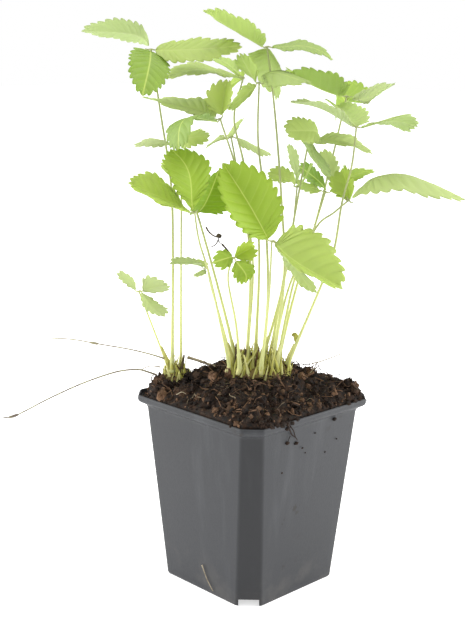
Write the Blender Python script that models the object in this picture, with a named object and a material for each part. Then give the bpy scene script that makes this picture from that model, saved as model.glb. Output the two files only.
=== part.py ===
# Potted strawberry plant: a square nursery pot, its peat, two crowns, and every leaf on its own stalk.
# Units are metres, +Z is up, the pot stands on z = 0 with its centre over the origin.
import math

import bpy
import bmesh
from mathutils import Vector
from mathutils import noise

MM = 0.001
GAP = 0.3 * MM

# ---- pot: a 9 cm square nursery pot, tapered, with chamfered corners and a stepped rim ----
LIP_HALF = 45.0 * MM
WALL_HALF_TOP = 41.5 * MM
WALL_HALF_BASE = 34.5 * MM
POT_HEIGHT = 97.4 * MM
STEP_Z = 92.0 * MM
WALL = 1.1 * MM
FLOOR = 1.5 * MM
CORNER_LEG_TOP = 7.6 * MM
CORNER_LEG_BASE = 8.8 * MM
CORNER_ROUND = 3.0 * MM
LEDGE_Z = 5.4 * MM
LEDGE_LEG = 29.4 * MM
NOTCH_WIDTH = 10.4 * MM
NOTCH_HEIGHT = 3.9 * MM
NOTCH_DEPTH = 15.0 * MM
DRAIN_RADIUS = 2.0 * MM

# ---- soil: height of the mound over the pot's inside, from the rim (1) to the middle (0) ----
SOIL_HALF = 43.3 * MM
MOUND = ((0.0, 112.0), (0.3, 111.0), (0.5, 109.0), (0.66, 106.2), (0.82, 102.2), (0.93, 98.8), (1.0, 96.4))
SOIL_RINGS = (0.97, 0.9, 0.8, 0.68, 0.55, 0.42, 0.28, 0.14)

# ---- crowns: centre x, y, half length, half width, turn in degrees, foot z, top z (mm) ----
CROWNS = {
    "crown_main": (8, -3, 17, 12, 45, 110, 118),
    "crown_side": (-30, -26, 8, 7, 45, 103.5, 111),
}

# ---- leaves ----
# One entry per leaf, all in mm and degrees:
#   hub: where the three leaflets meet; stalk: crown, then the points the stalk runs through
#   leaflets: tip, blade width, roll about the midrib, fold of the two halves, arch height,
#             place of the arch, twist, fullness of the left and right halves near the base
BLADE = 0.5 * MM
HUB_RADIUS = 1.3 * MM
STALK_FOOT = 0.95 * MM
STALK_TOP = 0.6 * MM
LEAVES = {
    "a": {
        "hub": (-37, -36, 269),
        "stalk": ("crown_side", (-29, -29, 111.3), (-32, -26, 166), (-37, -23, 203), (-44, -24, 239)),
        "leaflets": (
            ((-63.3, -56.8, 277.1), 13.6, 68, 14, 12.3, 0.31, -14, 0.64, 0.57),
            ((-17.1, -57.9, 249), 19.6, -24, -1, 3.2, 0.47, 1, 0.55, 0.55),
            ((-1.2, -10.9, 271), 21, 30, -4, -0.7, 0.39, 2, 0.55, 0.55),
        ),
    },
    "b": {
        "hub": (-7, -18, 237),
        "stalk": ("crown_main", (5, -9, 118.3), (1, -4, 168), (-9, -3, 207)),
        "leaflets": (
            ((-6.1, -15.1, 255.1), 18.2, 53, 46, 1.2, 0.3, 3, 0.55, 0.86),
            ((-40.7, -37.3, 246), 24, -27, 3, 2, 0.31, 14, 0.76, 0.55),
            ((-3.8, -47.5, 224.1), 18.1, 22, -6, 9.8, 0.58, -12, 0.77, 1.49),
        ),
    },
    "c": {
        "hub": (-4, -37, 194),
        "stalk": ("crown_main", (1, -17, 118.3), (-5, -25, 159), (-4, -34, 180)),
        "leaflets": (
            ((-23.5, -61.2, 207.5), 28, -28, 13, 0.4, 0.43, 14, 1.16, 1.37),
            ((-15.1, -42, 222.8), 23.4, -37, 4, 7.9, 0.6, 2, 1, 0.79),
            ((-17.5, -8.4, 211), 23.4, -1, -36, -3.3, 0.34, 4, 0.55, 0.75),
        ),
    },
    "d": {
        "hub": (-31, -25, 223),
        "stalk": ("crown_main", (-4, -8, 118.3), (-9, -11, 139), (-20, -17, 181)),
        "leaflets": (
            ((-46.8, -37.9, 223.2), 13.1, -15, -8, 2.1, 0.41, 2, 0.63, 1.1),
            ((-15.5, -17.2, 228.5), 11.1, 41, -18, 2.1, 0.38, 4, 0.64, 0.55),
            ((-45, -2, 228), 16, -20, 0, 0, 0.5, 0, 1, 1),
        ),
    },
    "e": {
        "hub": (28, -17, 182),
        "stalk": ("crown_main", (15, -9, 118.3), (22, -12, 152)),
        "leaflets": (
            ((13.5, -35.3, 217.9), 29.7, -80, 33, 3.3, 0.5, 4, 0.66, 0.55),
            ((50.5, 7.9, 160), 39, 30, 24, -2.3, 0.36, -5, 0.55, 0.55),
            ((32, 8.1, 154.8), 16.7, -168, -2, -0.5, 0.61, -12, 1.44, 0.97),
        ),
    },
    "f": {
        "hub": (8, -23, 172),
        "stalk": ("crown_main", (7, -16, 118.3), (7, -19, 138), (5, -23, 161)),
        "leaflets": (
            ((6.6, -34.6, 170.9), 9.6, -69, 22, 6.3, 0.45, -3, 1.62, 1.68),
            ((8.9, -9.3, 176.4), 12.7, 68, 45, -1.9, 0.35, 9, 0.55, 0.55),
            ((16.2, -22, 161.3), 11.3, 72, -3, -4.6, 0.63, 2, 0.61, 0.6),
        ),
    },
    "g": {
        "hub": (-60, -25, 145),
        "stalk": ("crown_side", (-35, -26, 111.3), (-47, -26, 127)),
        "leaflets": (
            ((-68.6, -30.7, 155.4), 9.6, -9, -14, 0.7, 0.48, -1, 0.86, 0.59),
            ((-56.1, -9, 147.1), 16.2, 30, 13, 0.3, 0.54, -14, 0.6, 0.71),
            ((-43.2, -22.1, 134.4), 11.4, -4, 1, -1.5, 0.54, 14, 1.06, 0.64),
        ),
    },
    "h": {
        "hub": (3, 3, 271),
        "stalk": ("crown_main", (15, -1, 118.3), (16, 5, 159), (12, 6, 198), (8, 4, 241)),
        "leaflets": (
            ((-11.8, -24.2, 287.2), 22.4, 10, 16, -0.5, 0.62, 0, 0.55, 0.78),
            ((23.1, 27, 265.9), 16.7, 16, -2, 3.5, 0.6, 3, 0.77, 0.55),
            ((-10.5, 22.7, 247.6), 24.2, 19, -25, 0.7, 0.56, 14, 0.55, 0.55),
        ),
    },
    "i": {
        "hub": (2, -1, 254),
        "stalk": ("crown_main", (10, -3, 118.3), (9, 1, 153), (4, 2, 198), (2, -1, 227)),
        "leaflets": (
            ((-11.3, -8, 241.7), 15.6, -38, 4, -0.8, 0.34, 14, 1.09, 0.55),
            ((27.8, 3, 255.2), 26.3, 21, -17, 5.2, 0.29, -14, 0.92, 1.01),
            ((-2, -10, 267), 18, 10, 0, 0, 0.5, 0, 1, 1),
        ),
    },
    "s": {
        "hub": (-17, 7, 256),
        "stalk": ("crown_main", (3, -1, 118.3), (-4, 7, 176), (-15, 6, 215), (-21, 5, 236)),
        "leaflets": (
            ((-29.8, -30.7, 256.1), 21, -19, -1, 4.2, 0.61, 9, 0.95, 0.95),
            ((-34.7, 5.5, 264.7), 13, -181, -13, -1.1, 0.63, -4, 1.1, 1.1),
            ((-45, 21, 250), 18, -45, 0, 0, 0.5, 0, 1, 1),
        ),
    },
    "j": {
        "hub": (37, 31, 234),
        "stalk": ("crown_main", (17, 8, 118.3), (31, 17, 159), (36, 19, 176), (38, 21, 198),
                (40, 25, 216)),
        "leaflets": (
            ((21.7, 1, 245.4), 18.9, 2, 12, 2.6, 0.56, -3, 0.67, 0.91),
            ((10.6, 45.5, 243), 21.3, 196, -28, -1, 0.69, -13, 0.55, 0.99),
            ((54.4, 55.4, 234), 26.5, 0, -2, 3.2, 0.57, -14, 1.13, 0.87),
        ),
    },
    "k": {
        "hub": (9, 56, 247),
        "stalk": ("crown_main", (5, 14, 118.3), (3, 28, 149), (0, 42, 173), (-2, 57, 208)),
        "leaflets": (
            ((-0.2, 22.4, 259), 30, 5, 22, -1.3, 0.46, -2, 0.55, 0.61),
            ((31.4, 65.4, 253.3), 24, 41, 2, -3.8, 0.33, -14, 0.73, 1.52),
            ((-17, 77.6, 250.8), 28.6, -21, -33, -4.9, 0.3, -14, 1.6, 0.61),
        ),
    },
    "m": {
        "hub": (9, 28, 226),
        "stalk": ("crown_main", (8, 4, 118.3), (9, 12, 157), (11, 18, 194)),
        "leaflets": (
            ((18, 1.5, 231.9), 13.5, -71, 3, 8.8, 0.32, 12, 1.02, 1.31),
            ((29, 53.2, 219.3), 17.9, 21, 4, 3.5, 0.5, -8, 0.87, 0.55),
            ((27.7, 18.7, 211.6), 18.6, 150, -13, 1.6, 0.48, -14, 0.55, 0.98),
        ),
    },
    "n": {
        "hub": (33, 32, 198),
        "stalk": ("crown_main", (17, 0, 118.3), (17, 11, 157), (24, 18, 184), (29, 26, 192)),
        "leaflets": (
            ((81.4, 58.5, 201.5), 32.1, 16, -15, 13.2, 0.4, -14, 1.6, 1),
            ((22.1, 39.1, 211.9), 17.1, -39, 39, 0, 0.5, 0, 1.3, 1.3),
            ((4.1, 46.1, 219.8), 9, 35, 0, -2, 0.5, 0, 1.8, 1.8),
        ),
    },
    "o": {
        "hub": (9, 42, 199),
        "stalk": ("crown_main", (5, 9, 118.3), (7, 18, 151), (8, 33, 177)),
        "leaflets": (
            ((-11.5, 44.6, 210.3), 12, -106, -4, -2.2, 0.31, -3, 1.24, 0.8),
            ((-8.1, 39.2, 203.7), 10.2, -32, -17, -0.3, 0.42, 14, 0.6, 1.57),
            ((22, 63, 210), 18, 5, 0, 2, 0.5, 0, 1, 1),
        ),
    },
    "r": {
        "hub": (2, 28, 202),
        "stalk": ("crown_main", (2, 5, 118.3), (3, 14, 140), (2, 24, 170)),
        "leaflets": (
            ((-2.7, 26.5, 223), 9.9, 56, -1, 1.9, 0.32, -4, 1.03, 1.19),
            ((-3.8, 12.8, 209.4), 11.1, -52, 12, 2.7, 0.36, 2, 1.95, 0.6),
            ((4, 37, 213), 9, -40, 0, 0, 0.5, 0, 1.2, 1.2),
        ),
    },
    "p": {
        "hub": (-26, 8, 226),
        "stalk": ("crown_main", (-2, -2, 118.3), (-6, 5, 166), (-20, 8, 205)),
        "leaflets": (
            ((-19, 29.8, 217), 13.4, 25, -21, 0.5, 0.3, -5, 1.41, 0.55),
            ((-38, 24, 232), 12, -45, 0, 0, 0.5, 0, 1, 1),
            ((-39, 4, 221), 12, -20, 0, 1, 0.5, 0, 1, 1),
        ),
    },
    "q": {
        "hub": (-13, -20, 164),
        "stalk": ("crown_main", (-1, -13, 118.3), (-6, -17, 138), (-11, -19, 154)),
        "leaflets": (
            ((-21.9, -36.5, 166.6), 11.9, 4, 15, 1.4, 0.33, -14, 0.55, 0.55),
            ((-29, -15, 165), 10, 5, 0, 0, 0.5, 0, 1, 1),
            ((-13, -27, 160), 10, 10, 0, 0, 0.5, 0, 1, 1),
        ),
    },
    "t": {
        "hub": (-47, -7, 204),
        "stalk": ("crown_side", (-29, -23, 111.3), (-37, -16, 164)),
        "leaflets": (
            ((-51, -17, 211), 14, -25, 0, 0, 0.5, 0, 1, 1),
            ((-36, -4, 210), 14, 30, 0, 0, 0.5, 0, 1, 1),
            ((-60, 6, 212), 14, -60, 0, 0, 0.5, 0, 1, 1),
        ),
    },
}

# ---- runners and loose fibres: radius, then the points each runs through (mm) ----
STRANDS = {
    "runner_long": (0.55, 6, ((-33.4, -35.7, 107.1), (-35, -40, 109.2), (-37.4, -45.2, 110.9),
            (-43.5, -54, 110), (-53, -67.6, 104.7), (-62.6, -81.2, 97.4), (-73, -94.2, 88.8),
            (-77.2, -99.7, 87.4))),
    "runner_high": (0.45, 6, ((-37.5, -27.1, 113.5), (-43.5, -31.5, 115.4), (-53.1, -38.2, 117.4),
            (-65.3, -47.4, 119.2), (-76.7, -55.8, 120.9), (-86.1, -63.7, 121.2))),
    "fibre_right": (0.3, 5, ((19, 24.3, 113.1), (21.3, 29.4, 114), (26.9, 37.6, 117.4))),
    "fibre_left": (0.3, 5, ((-36.7, -30.5, 109.7), (-41.2, -33.5, 109.8), (-45.6, -36.5, 107.3))),
    "twig_on_soil": (0.8, 6, ((-33.1, -12.9, 114.5), (-25.7, -8.4, 113.3), (-18.3, -4, 111.6))),
    "straw_on_wall": (0.4, 5, ((2.6, -36.4, 14.9), (5.8, -35.9, 8.2), (9.9, -35.5, 2.9))),
}


def clear_scene():
    for ob in list(bpy.data.objects):
        bpy.data.objects.remove(ob, do_unlink=True)


def material(name, colour, roughness, metallic=0.0):
    mat = bpy.data.materials.new(name)
    mat.use_nodes = True
    mat.diffuse_color = (colour[0], colour[1], colour[2], 1.0)
    bsdf = mat.node_tree.nodes["Principled BSDF"]
    bsdf.inputs["Base Color"].default_value = (colour[0], colour[1], colour[2], 1.0)
    bsdf.inputs["Roughness"].default_value = roughness
    bsdf.inputs["Metallic"].default_value = metallic
    return mat


def add_object(name, verts, faces, mat, smooth=True):
    mesh = bpy.data.meshes.new(name)
    mesh.from_pydata([tuple(v) for v in verts], [], faces)
    bm = bmesh.new()
    bm.from_mesh(mesh)
    bmesh.ops.recalc_face_normals(bm, faces=bm.faces)
    bm.to_mesh(mesh)
    bm.free()
    for poly in mesh.polygons:
        poly.use_smooth = smooth
    ob = bpy.data.objects.new(name, mesh)
    bpy.context.scene.collection.objects.link(ob)
    ob.data.materials.append(mat)
    return ob


# ---------------------------------------------------------------- square loops with cut corners
def corner_loop(half, leg, z, rounding):
    pts = []
    t = rounding * math.tan(math.radians(22.5))
    for k in range(4):
        c = math.cos(k * math.pi / 2)
        s = math.sin(k * math.pi / 2)
        ends = (((half, half - leg), (0.0, 1.0), (-0.7071, 0.7071)),
                ((half - leg, half), (-0.7071, 0.7071), (-1.0, 0.0)))
        for (vx, vy), before, after in ends:
            a = (vx - before[0] * t, vy - before[1] * t)
            b = (vx + after[0] * t, vy + after[1] * t)
            mid = (vx * 0.5 + (a[0] + b[0]) * 0.25, vy * 0.5 + (a[1] + b[1]) * 0.25)
            for px, py in (a, mid, b):
                pts.append(Vector((px * c - py * s, px * s + py * c, z)))
    return pts


def loft(loops, cap_first=True, cap_last=True):
    n = len(loops[0])
    verts = [p for loop in loops for p in loop]
    faces = []
    for i in range(len(loops) - 1):
        for j in range(n):
            k = (j + 1) % n
            faces.append((i * n + j, i * n + k, (i + 1) * n + k, (i + 1) * n + j))
    if cap_first:
        faces.append(tuple(reversed(range(n))))
    if cap_last:
        base = (len(loops) - 1) * n
        faces.append(tuple(range(base, base + n)))
    return verts, faces


def outer_half(z):
    return WALL_HALF_BASE + (WALL_HALF_TOP - WALL_HALF_BASE) * z / STEP_Z


def outer_leg(z):
    return CORNER_LEG_BASE + (CORNER_LEG_TOP - CORNER_LEG_BASE) * z / STEP_Z


def inner_leg(z, inset):
    return outer_leg(z) - 0.586 * inset


def build_pot(mat):
    r = CORNER_ROUND
    ri = CORNER_ROUND - WALL
    top = CORNER_LEG_TOP
    loops = [corner_loop(outer_half(0) - 0.9 * MM, CORNER_LEG_BASE, 0.0, r)]
    for z in (1.0, 24.0, 47.0, 70.0, 91.0):
        loops.append(corner_loop(outer_half(z * MM), outer_leg(z * MM), z * MM, r))
    for z, half in ((92.2, 41.9), (93.0, 43.2), (93.6, 44.5), (94.4, 45.0), (97.0, 45.0)):
        loops.append(corner_loop(half * MM, top, z * MM, r))
    loops.append(corner_loop(44.7 * MM, top, POT_HEIGHT, r))
    loops.append(corner_loop(44.0 * MM, top - 0.6 * MM, POT_HEIGHT, ri))
    for z, half in ((95.2, 43.8), (94.4, 43.1), (93.8, 41.8), (93.0, 40.7)):
        loops.append(corner_loop(half * MM, top - 0.6 * MM, z * MM, ri))
    for z in (91.0, 60.0, 30.0):
        loops.append(corner_loop(outer_half(z * MM) - WALL, inner_leg(z * MM, WALL), z * MM, ri))
    z = LEDGE_Z + 0.2 * MM
    loops.append(corner_loop(outer_half(z) - WALL, inner_leg(z, WALL), z, ri))
    z = LEDGE_Z - 0.2 * MM
    loops.append(corner_loop(outer_half(z) - WALL, LEDGE_LEG, z, ri))
    loops.append(corner_loop(outer_half(FLOOR) - WALL, LEDGE_LEG, FLOOR, ri))
    verts, faces = loft(loops)
    pot = add_object("pot", verts, faces, mat)
    # one notch and one drain hole under each cut corner, cut from the same moulded body
    reach = (2 * WALL_HALF_BASE - CORNER_LEG_BASE) / math.sqrt(2)
    for k in range(4):
        turn = math.radians(45 + 90 * k)
        out = Vector((math.cos(turn), math.sin(turn), 0.0))
        side = Vector((-math.sin(turn), math.cos(turn), 0.0))
        box = []
        for z in (-1.0 * MM, NOTCH_HEIGHT):
            up = Vector((0, 0, z))
            for e, w in ((-NOTCH_DEPTH, -1), (3 * MM, -1), (3 * MM, 1), (-NOTCH_DEPTH, 1)):
                box.append(out * (reach + e) + side * (w * NOTCH_WIDTH / 2) + up)
        cut_body(pot, "cut_notch_%d" % k, box, 4, mat)
        ring = []
        for z in (NOTCH_HEIGHT - 1.0 * MM, LEDGE_Z + 2.0 * MM):
            for i in range(12):
                a = 2 * math.pi * i / 12
                p = out * (reach - 7.0 * MM) + Vector((math.cos(a), math.sin(a), 0)) * DRAIN_RADIUS
                ring.append(p + Vector((0, 0, z)))
        cut_body(pot, "cut_drain_%d" % k, ring, 12, mat)
    return pot


def cut_body(target, name, points, n, mat):
    loops = [points[:n], points[n:]]
    verts, faces = loft(loops)
    cutter = add_object(name, verts, faces, mat, smooth=False)
    cutter.hide_render = True
    cutter.display_type = "WIRE"
    mod = target.modifiers.new(name, "BOOLEAN")
    mod.operation = "DIFFERENCE"
    mod.solver = "EXACT"
    mod.object = cutter
    return cutter


# ---------------------------------------------------------------- soil
def mound_height(x, y):
    s = min(1.0, max(abs(x), abs(y)) / SOIL_HALF)
    z = MOUND[-1][1]
    for (s0, z0), (s1, z1) in zip(MOUND, MOUND[1:]):
        if s0 <= s <= s1:
            z = z0 + (z1 - z0) * (s - s0) / (s1 - s0)
            break
    rough = noise.noise(Vector((x * 160.0, y * 160.0, 3.7)))
    z = z * MM + 1.3 * MM * rough * min(1.0, (1.0 - s) * 8.0)
    for cx, cy, rl, rw, turn, foot, top in CROWNS.values():
        d = math.hypot(x - cx * MM, y - cy * MM) - (max(rl, rw) + 2.0) * MM
        w = min(1.0, max(0.0, 1.0 - d / (6.0 * MM)))
        w = w * w * (3.0 - 2.0 * w)
        z = z * (1.0 - w) + (foot * MM - GAP) * w
    return z


def build_soil(mat):
    loops = []
    inset = WALL + GAP
    r = 1.6 * MM
    big = LEDGE_LEG - 0.586 * GAP
    z = FLOOR + GAP
    loops.append(corner_loop(outer_half(z) - inset, big, z, r))
    z = LEDGE_Z + 0.3 * MM
    loops.append(corner_loop(outer_half(z) - inset, big, z, r))
    z = LEDGE_Z + 0.7 * MM
    loops.append(corner_loop(outer_half(z) - inset, inner_leg(z, inset), z, r))
    for z in (30.0, 60.0, 90.8):
        loops.append(corner_loop(outer_half(z * MM) - inset, inner_leg(z * MM, inset), z * MM, r))
    for z, half in ((93.3, 40.35), (94.2, 41.4), (94.9, 42.7), (95.6, 43.3), (96.4, 43.3)):
        loops.append(corner_loop(half * MM, CORNER_LEG_TOP - 0.8 * MM, z * MM, r))
    for s in SOIL_RINGS:
        loop = corner_loop(SOIL_HALF * s, (CORNER_LEG_TOP - 0.8 * MM) * s, 0.0, r * s)
        for p in loop:
            p.z = mound_height(p.x, p.y)
        loops.append(loop)
    verts, faces = loft(loops, cap_last=False)
    centre = len(verts)
    verts.append(Vector((0, 0, mound_height(0, 0))))
    base = (len(loops) - 1) * 24
    for j in range(24):
        faces.append((base + j, base + (j + 1) % 24, centre))
    return add_object("soil", verts, faces, mat)


# ---------------------------------------------------------------- crowns
def crown_point(spec, angle, k, z):
    cx, cy, rl, rw, turn, foot, top = spec
    lump = 1.0 + 0.05 * math.sin(5 * angle + 1.0) + 0.04 * math.sin(9 * angle)
    a = rl * k * lump * math.cos(angle)
    b = rw * k * lump * math.sin(angle)
    t = math.radians(turn)
    x = cx + a * math.cos(t) - b * math.sin(t)
    y = cy + a * math.sin(t) + b * math.cos(t)
    return Vector((x * MM, y * MM, z * MM))


def build_crown(name, spec, mat):
    foot, top = spec[5], spec[6]
    h = top - foot
    loops = []
    for k, f in ((0.86, 0.0), (1.0, 0.25), (0.98, 0.6), (0.9, 1.0)):
        loops.append([crown_point(spec, 2 * math.pi * i / 20, k, foot + h * f) for i in range(20)])
    verts, faces = loft(loops)
    return add_object(name, verts, faces, mat)


# ---------------------------------------------------------------- tubes
def spline(points, step):
    pts = [Vector(p) for p in points]
    ext = [pts[0] * 2 - pts[1]] + pts + [pts[-1] * 2 - pts[-2]]
    out = []
    for i in range(1, len(ext) - 2):
        p0, p1, p2, p3 = ext[i - 1], ext[i], ext[i + 1], ext[i + 2]
        n = max(1, int(round((p2 - p1).length / step)))
        for j in range(n):
            t = j / n
            a = p1 * 2
            b = (p2 - p0) * t
            c = (p0 * 2 - p1 * 5 + p2 * 4 - p3) * t * t
            d = (p1 * 3 - p0 - p2 * 3 + p3) * t * t * t
            out.append((a + b + c + d) * 0.5)
    out.append(pts[-1])
    return out


def tube(path, r0, r1, sides, flat_foot):
    n = len(path)
    ref = Vector((1, 0, 0))
    loops = []
    for i, p in enumerate(path):
        q0 = path[max(0, i - 1)]
        q1 = path[min(n - 1, i + 1)]
        d = (q1 - q0).normalized()
        if i == 0 and flat_foot:
            d = Vector((0, 0, 1))
        ref = (ref - d * ref.dot(d)).normalized()
        other = d.cross(ref)
        r = r0 + (r1 - r0) * i / (n - 1)
        ring = []
        for k in range(sides):
            a = 2 * math.pi * k / sides
            ring.append(p + (ref * math.cos(a) + other * math.sin(a)) * r)
        loops.append(ring)
    return loft(loops)


def stalk_path(leaf):
    hub = Vector(leaf["hub"]) * MM
    crown, points = leaf["stalk"][0], [Vector(p) * MM for p in leaf["stalk"][1:]]
    if crown:
        points[0].z = CROWNS[crown][6] * MM + GAP
    path = spline(points + [hub], 15 * MM)
    up = (path[-1] - path[-2]).normalized()
    path[-1] = hub - up * (BLADE / 2 + GAP)
    return path, up


# ---------------------------------------------------------------- leaves
def blade_profile(u, full):
    peak = full / (full + 0.55)
    u = min(1.0 - 1e-9, max(1e-6, u))
    return (u / peak) ** full * ((1.0 - u) / (1.0 - peak)) ** 0.55


def leaf_frame(hub, up, leaflets):
    ref = Vector((1, 0, 0)) if abs(up.x) < 0.8 else Vector((0, 1, 0))
    e1 = (ref - up * ref.dot(up)).normalized()
    e2 = up.cross(e1)
    angles = []
    for spec in leaflets:
        t = Vector(spec[0]) * MM - hub
        angles.append(math.atan2(t.dot(e2), t.dot(e1)))
    order = sorted(range(len(angles)), key=lambda i: angles[i])
    n = len(order)
    least = math.radians(80)
    for _ in range(60):
        for k in range(n):
            i, j = order[k], order[(k + 1) % n]
            turn = (angles[j] - angles[i]) % (2 * math.pi)
            if turn < least:
                angles[i] -= (least - turn) * 0.5
                angles[j] += (least - turn) * 0.5
    return e1, e2, angles, order


def leaflet_rows(hub, up, radial, spec, rows, cols):
    tip, width, roll, fold, arch, place, twist, full_l, full_r = spec
    start = hub + radial * HUB_RADIUS
    chord = Vector(tip) * MM - start
    length = chord.length
    t = chord.normalized()
    flat = Vector((t.x, t.y, 0)).normalized()
    s0 = Vector((-flat.y, flat.x, 0))
    n0 = t.cross(s0)
    a0 = math.radians(roll)
    lift = n0 * math.cos(a0) - s0 * math.sin(a0)
    power = math.log(0.5) / math.log(place)
    neck = min(0.3, 1.3 * MM / length)
    ccw = up.cross(radial)
    flip = 1.0
    out = []
    for k in rows:
        u = neck + (1.0 - neck) * k
        a = math.radians(roll + twist * u)
        s = s0 * math.cos(a) + n0 * math.sin(a)
        if k == rows[0] and s.dot(ccw) < 0:
            flip = -1.0
        n = t.cross(s)
        c = start + t * (length * u) + lift * (arch * MM * math.sin(math.pi * u ** power))
        row = []
        for v in cols:
            v = v * flip
            half = width * MM / 2 * blade_profile(k, full_l if v > 0 else full_r)
            half = max(half, 0.55 * MM)
            f = math.radians(fold)
            row.append(c + (s * (v * math.cos(f)) + n * (abs(v) * math.sin(f))) * half)
        out.append(row)
    out[-1] = [sum(out[-1], Vector()) / len(out[-1])]
    return out


def build_leaf(name, leaf, mat, up):
    hub = Vector(leaf["hub"]) * MM
    e1, e2, angles, order = leaf_frame(hub, up, leaf["leaflets"])
    cols = (-1.0, 0.0, 1.0)
    verts = []
    faces = []
    rim = []
    for i in order:
        radial = e1 * math.cos(angles[i]) + e2 * math.sin(angles[i])
        ccw = up.cross(radial)
        grid = [[hub + radial * HUB_RADIUS + ccw * (0.6 * MM * v) for v in cols]]
        stations = (0.0, 0.12, 0.3, 0.5, 0.7, 0.88, 1.0)
        grid += leaflet_rows(hub, up, radial, leaf["leaflets"][i], stations, cols)
        index = []
        for row in grid:
            index.append(list(range(len(verts), len(verts) + len(row))))
            verts.extend(row)
        rim.extend(index[0])
        for r in range(len(index) - 2):
            for c in range(len(cols) - 1):
                faces.append((index[r][c], index[r + 1][c], index[r + 1][c + 1], index[r][c + 1]))
        for c in range(len(cols) - 1):
            faces.append((index[-2][c], index[-1][0], index[-2][c + 1]))
    centre = len(verts)
    verts.append(hub)
    for k in range(len(rim)):
        faces.append((centre, rim[k], rim[(k + 1) % len(rim)]))
    return thicken(name, verts, faces, mat)


def thicken(name, verts, faces, mat):
    bm = bmesh.new()
    vs = [bm.verts.new(v) for v in verts]
    for f in faces:
        bm.faces.new([vs[i] for i in f])
    bmesh.ops.recalc_face_normals(bm, faces=bm.faces)
    bm.normal_update()
    bm.verts.index_update()
    top = [v.co + v.normal * (BLADE / 2) for v in bm.verts]
    low = [v.co - v.normal * (BLADE / 2) for v in bm.verts]
    n = len(top)
    out = []
    for f in bm.faces:
        ids = [v.index for v in f.verts]
        out.append(tuple(ids))
        out.append(tuple(n + i for i in reversed(ids)))
    for e in bm.edges:
        if len(e.link_faces) == 1:
            a, b = e.verts[0].index, e.verts[1].index
            out.append((a, b, n + b, n + a))
    bm.free()
    return add_object(name, top + low, out, mat)


# ---------------------------------------------------------------- the whole plant
clear_scene()
mat_pot = material("pot_plastic", (0.07, 0.072, 0.078), 0.45)
mat_soil = material("peat", (0.035, 0.022, 0.014), 0.95)
mat_crown = material("crown_flesh", (0.36, 0.42, 0.13), 0.6)
mat_leaf = material("leaf_green", (0.33, 0.55, 0.06), 0.5)
mat_stalk = material("stalk_green", (0.62, 0.72, 0.30), 0.5)
mat_runner = material("runner_pale", (0.62, 0.58, 0.50), 0.6)
mat_straw = material("straw", (0.50, 0.42, 0.28), 0.8)

build_pot(mat_pot)
build_soil(mat_soil)
for crown_name, crown_spec in CROWNS.items():
    build_crown(crown_name, crown_spec, mat_crown)
for leaf_name, leaf_spec in LEAVES.items():
    path, up_dir = stalk_path(leaf_spec)
    tube_verts, tube_faces = tube(path, STALK_FOOT, STALK_TOP, 6, True)
    add_object("stalk_" + leaf_name, tube_verts, tube_faces, mat_stalk)
    build_leaf("leaf_" + leaf_name, leaf_spec, mat_leaf, up_dir)
for strand_name, (radius, sides, points) in STRANDS.items():
    path = spline([Vector(p) * MM for p in points], 9 * MM)
    tube_verts, tube_faces = tube(path, radius * MM, radius * 0.8 * MM, sides, False)
    loose = strand_name.startswith(("twig", "straw", "fibre"))
    add_object(strand_name, tube_verts, tube_faces, mat_straw if loose else mat_runner)
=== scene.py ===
# %% [markdown]
# # A potted strawberry plant
# A young strawberry plant stands in a square nursery pot. Two crowns of leaf bases sit on a mound of
# peat, nineteen thin stalks rise from them, and each stalk carries three toothed leaflets that meet at
# one point. Two runners reach out over the rim. This lesson dresses the plain solids of the part with
# the shapes and finishes of the living plant, piece by piece, and leaves every size as it is.

import math

import bmesh
import bpy
import numpy as np
from mathutils import Matrix
from mathutils import Vector
from mathutils import noise


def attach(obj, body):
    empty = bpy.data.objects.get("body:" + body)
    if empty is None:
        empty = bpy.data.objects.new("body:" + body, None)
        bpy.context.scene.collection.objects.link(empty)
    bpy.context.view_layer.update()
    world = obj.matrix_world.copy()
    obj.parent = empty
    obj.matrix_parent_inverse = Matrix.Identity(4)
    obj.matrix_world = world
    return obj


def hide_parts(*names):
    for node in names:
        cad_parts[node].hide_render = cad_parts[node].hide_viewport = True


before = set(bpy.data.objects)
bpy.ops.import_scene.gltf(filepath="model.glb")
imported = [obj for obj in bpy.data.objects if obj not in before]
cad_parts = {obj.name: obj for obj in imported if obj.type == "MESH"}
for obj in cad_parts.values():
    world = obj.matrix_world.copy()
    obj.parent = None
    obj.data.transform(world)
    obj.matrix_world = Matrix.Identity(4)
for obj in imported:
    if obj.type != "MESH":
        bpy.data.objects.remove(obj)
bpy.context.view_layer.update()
MM = 0.001
BODY = "root"
scene = bpy.context.scene

# %% [markdown]
# ## Camera
# The plant is seen corner on, from a little above the rim, so the pot shows two walls and the cut
# corner between them. The direction is written as an azimuth, a pitch and a small roll, because those
# are the numbers a person would read off a tripod head.

# %% Camera
AZIMUTH, PITCH, ROLL = 44.52, 13.18, 0.819
DISTANCE, HEIGHT = 0.5764, 0.2712
PAN = 1.043
a = math.radians(AZIMUTH)
p = math.radians(PITCH)
y = math.radians(AZIMUTH + PAN)
away = Vector((-math.sin(y) * math.cos(p), math.cos(y) * math.cos(p), -math.sin(p)))
right = Vector((math.cos(y), math.sin(y), 0.0))
up = right.cross(away)
r = math.radians(ROLL)
cam_x = right * math.cos(r) + up * math.sin(r)
cam_y = up * math.cos(r) - right * math.sin(r)
cam_data = bpy.data.cameras.new("camera")
cam_data.sensor_width = 36.0
cam_data.lens = 65.8
camera = bpy.data.objects.new("camera", cam_data)
turn = Matrix((cam_x, cam_y, -away)).transposed().to_4x4()
camera.matrix_world = Matrix.Translation((DISTANCE * math.sin(a), -DISTANCE * math.cos(a), HEIGHT)) @ turn
scene.collection.objects.link(camera)
scene.camera = camera
TO_CAMERA = Vector((math.sin(a), -math.cos(a), 0.0))
SIDEWAYS = Vector((math.cos(a), math.sin(a), 0.0))
print("camera at", [round(c, 3) for c in camera.location])

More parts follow.
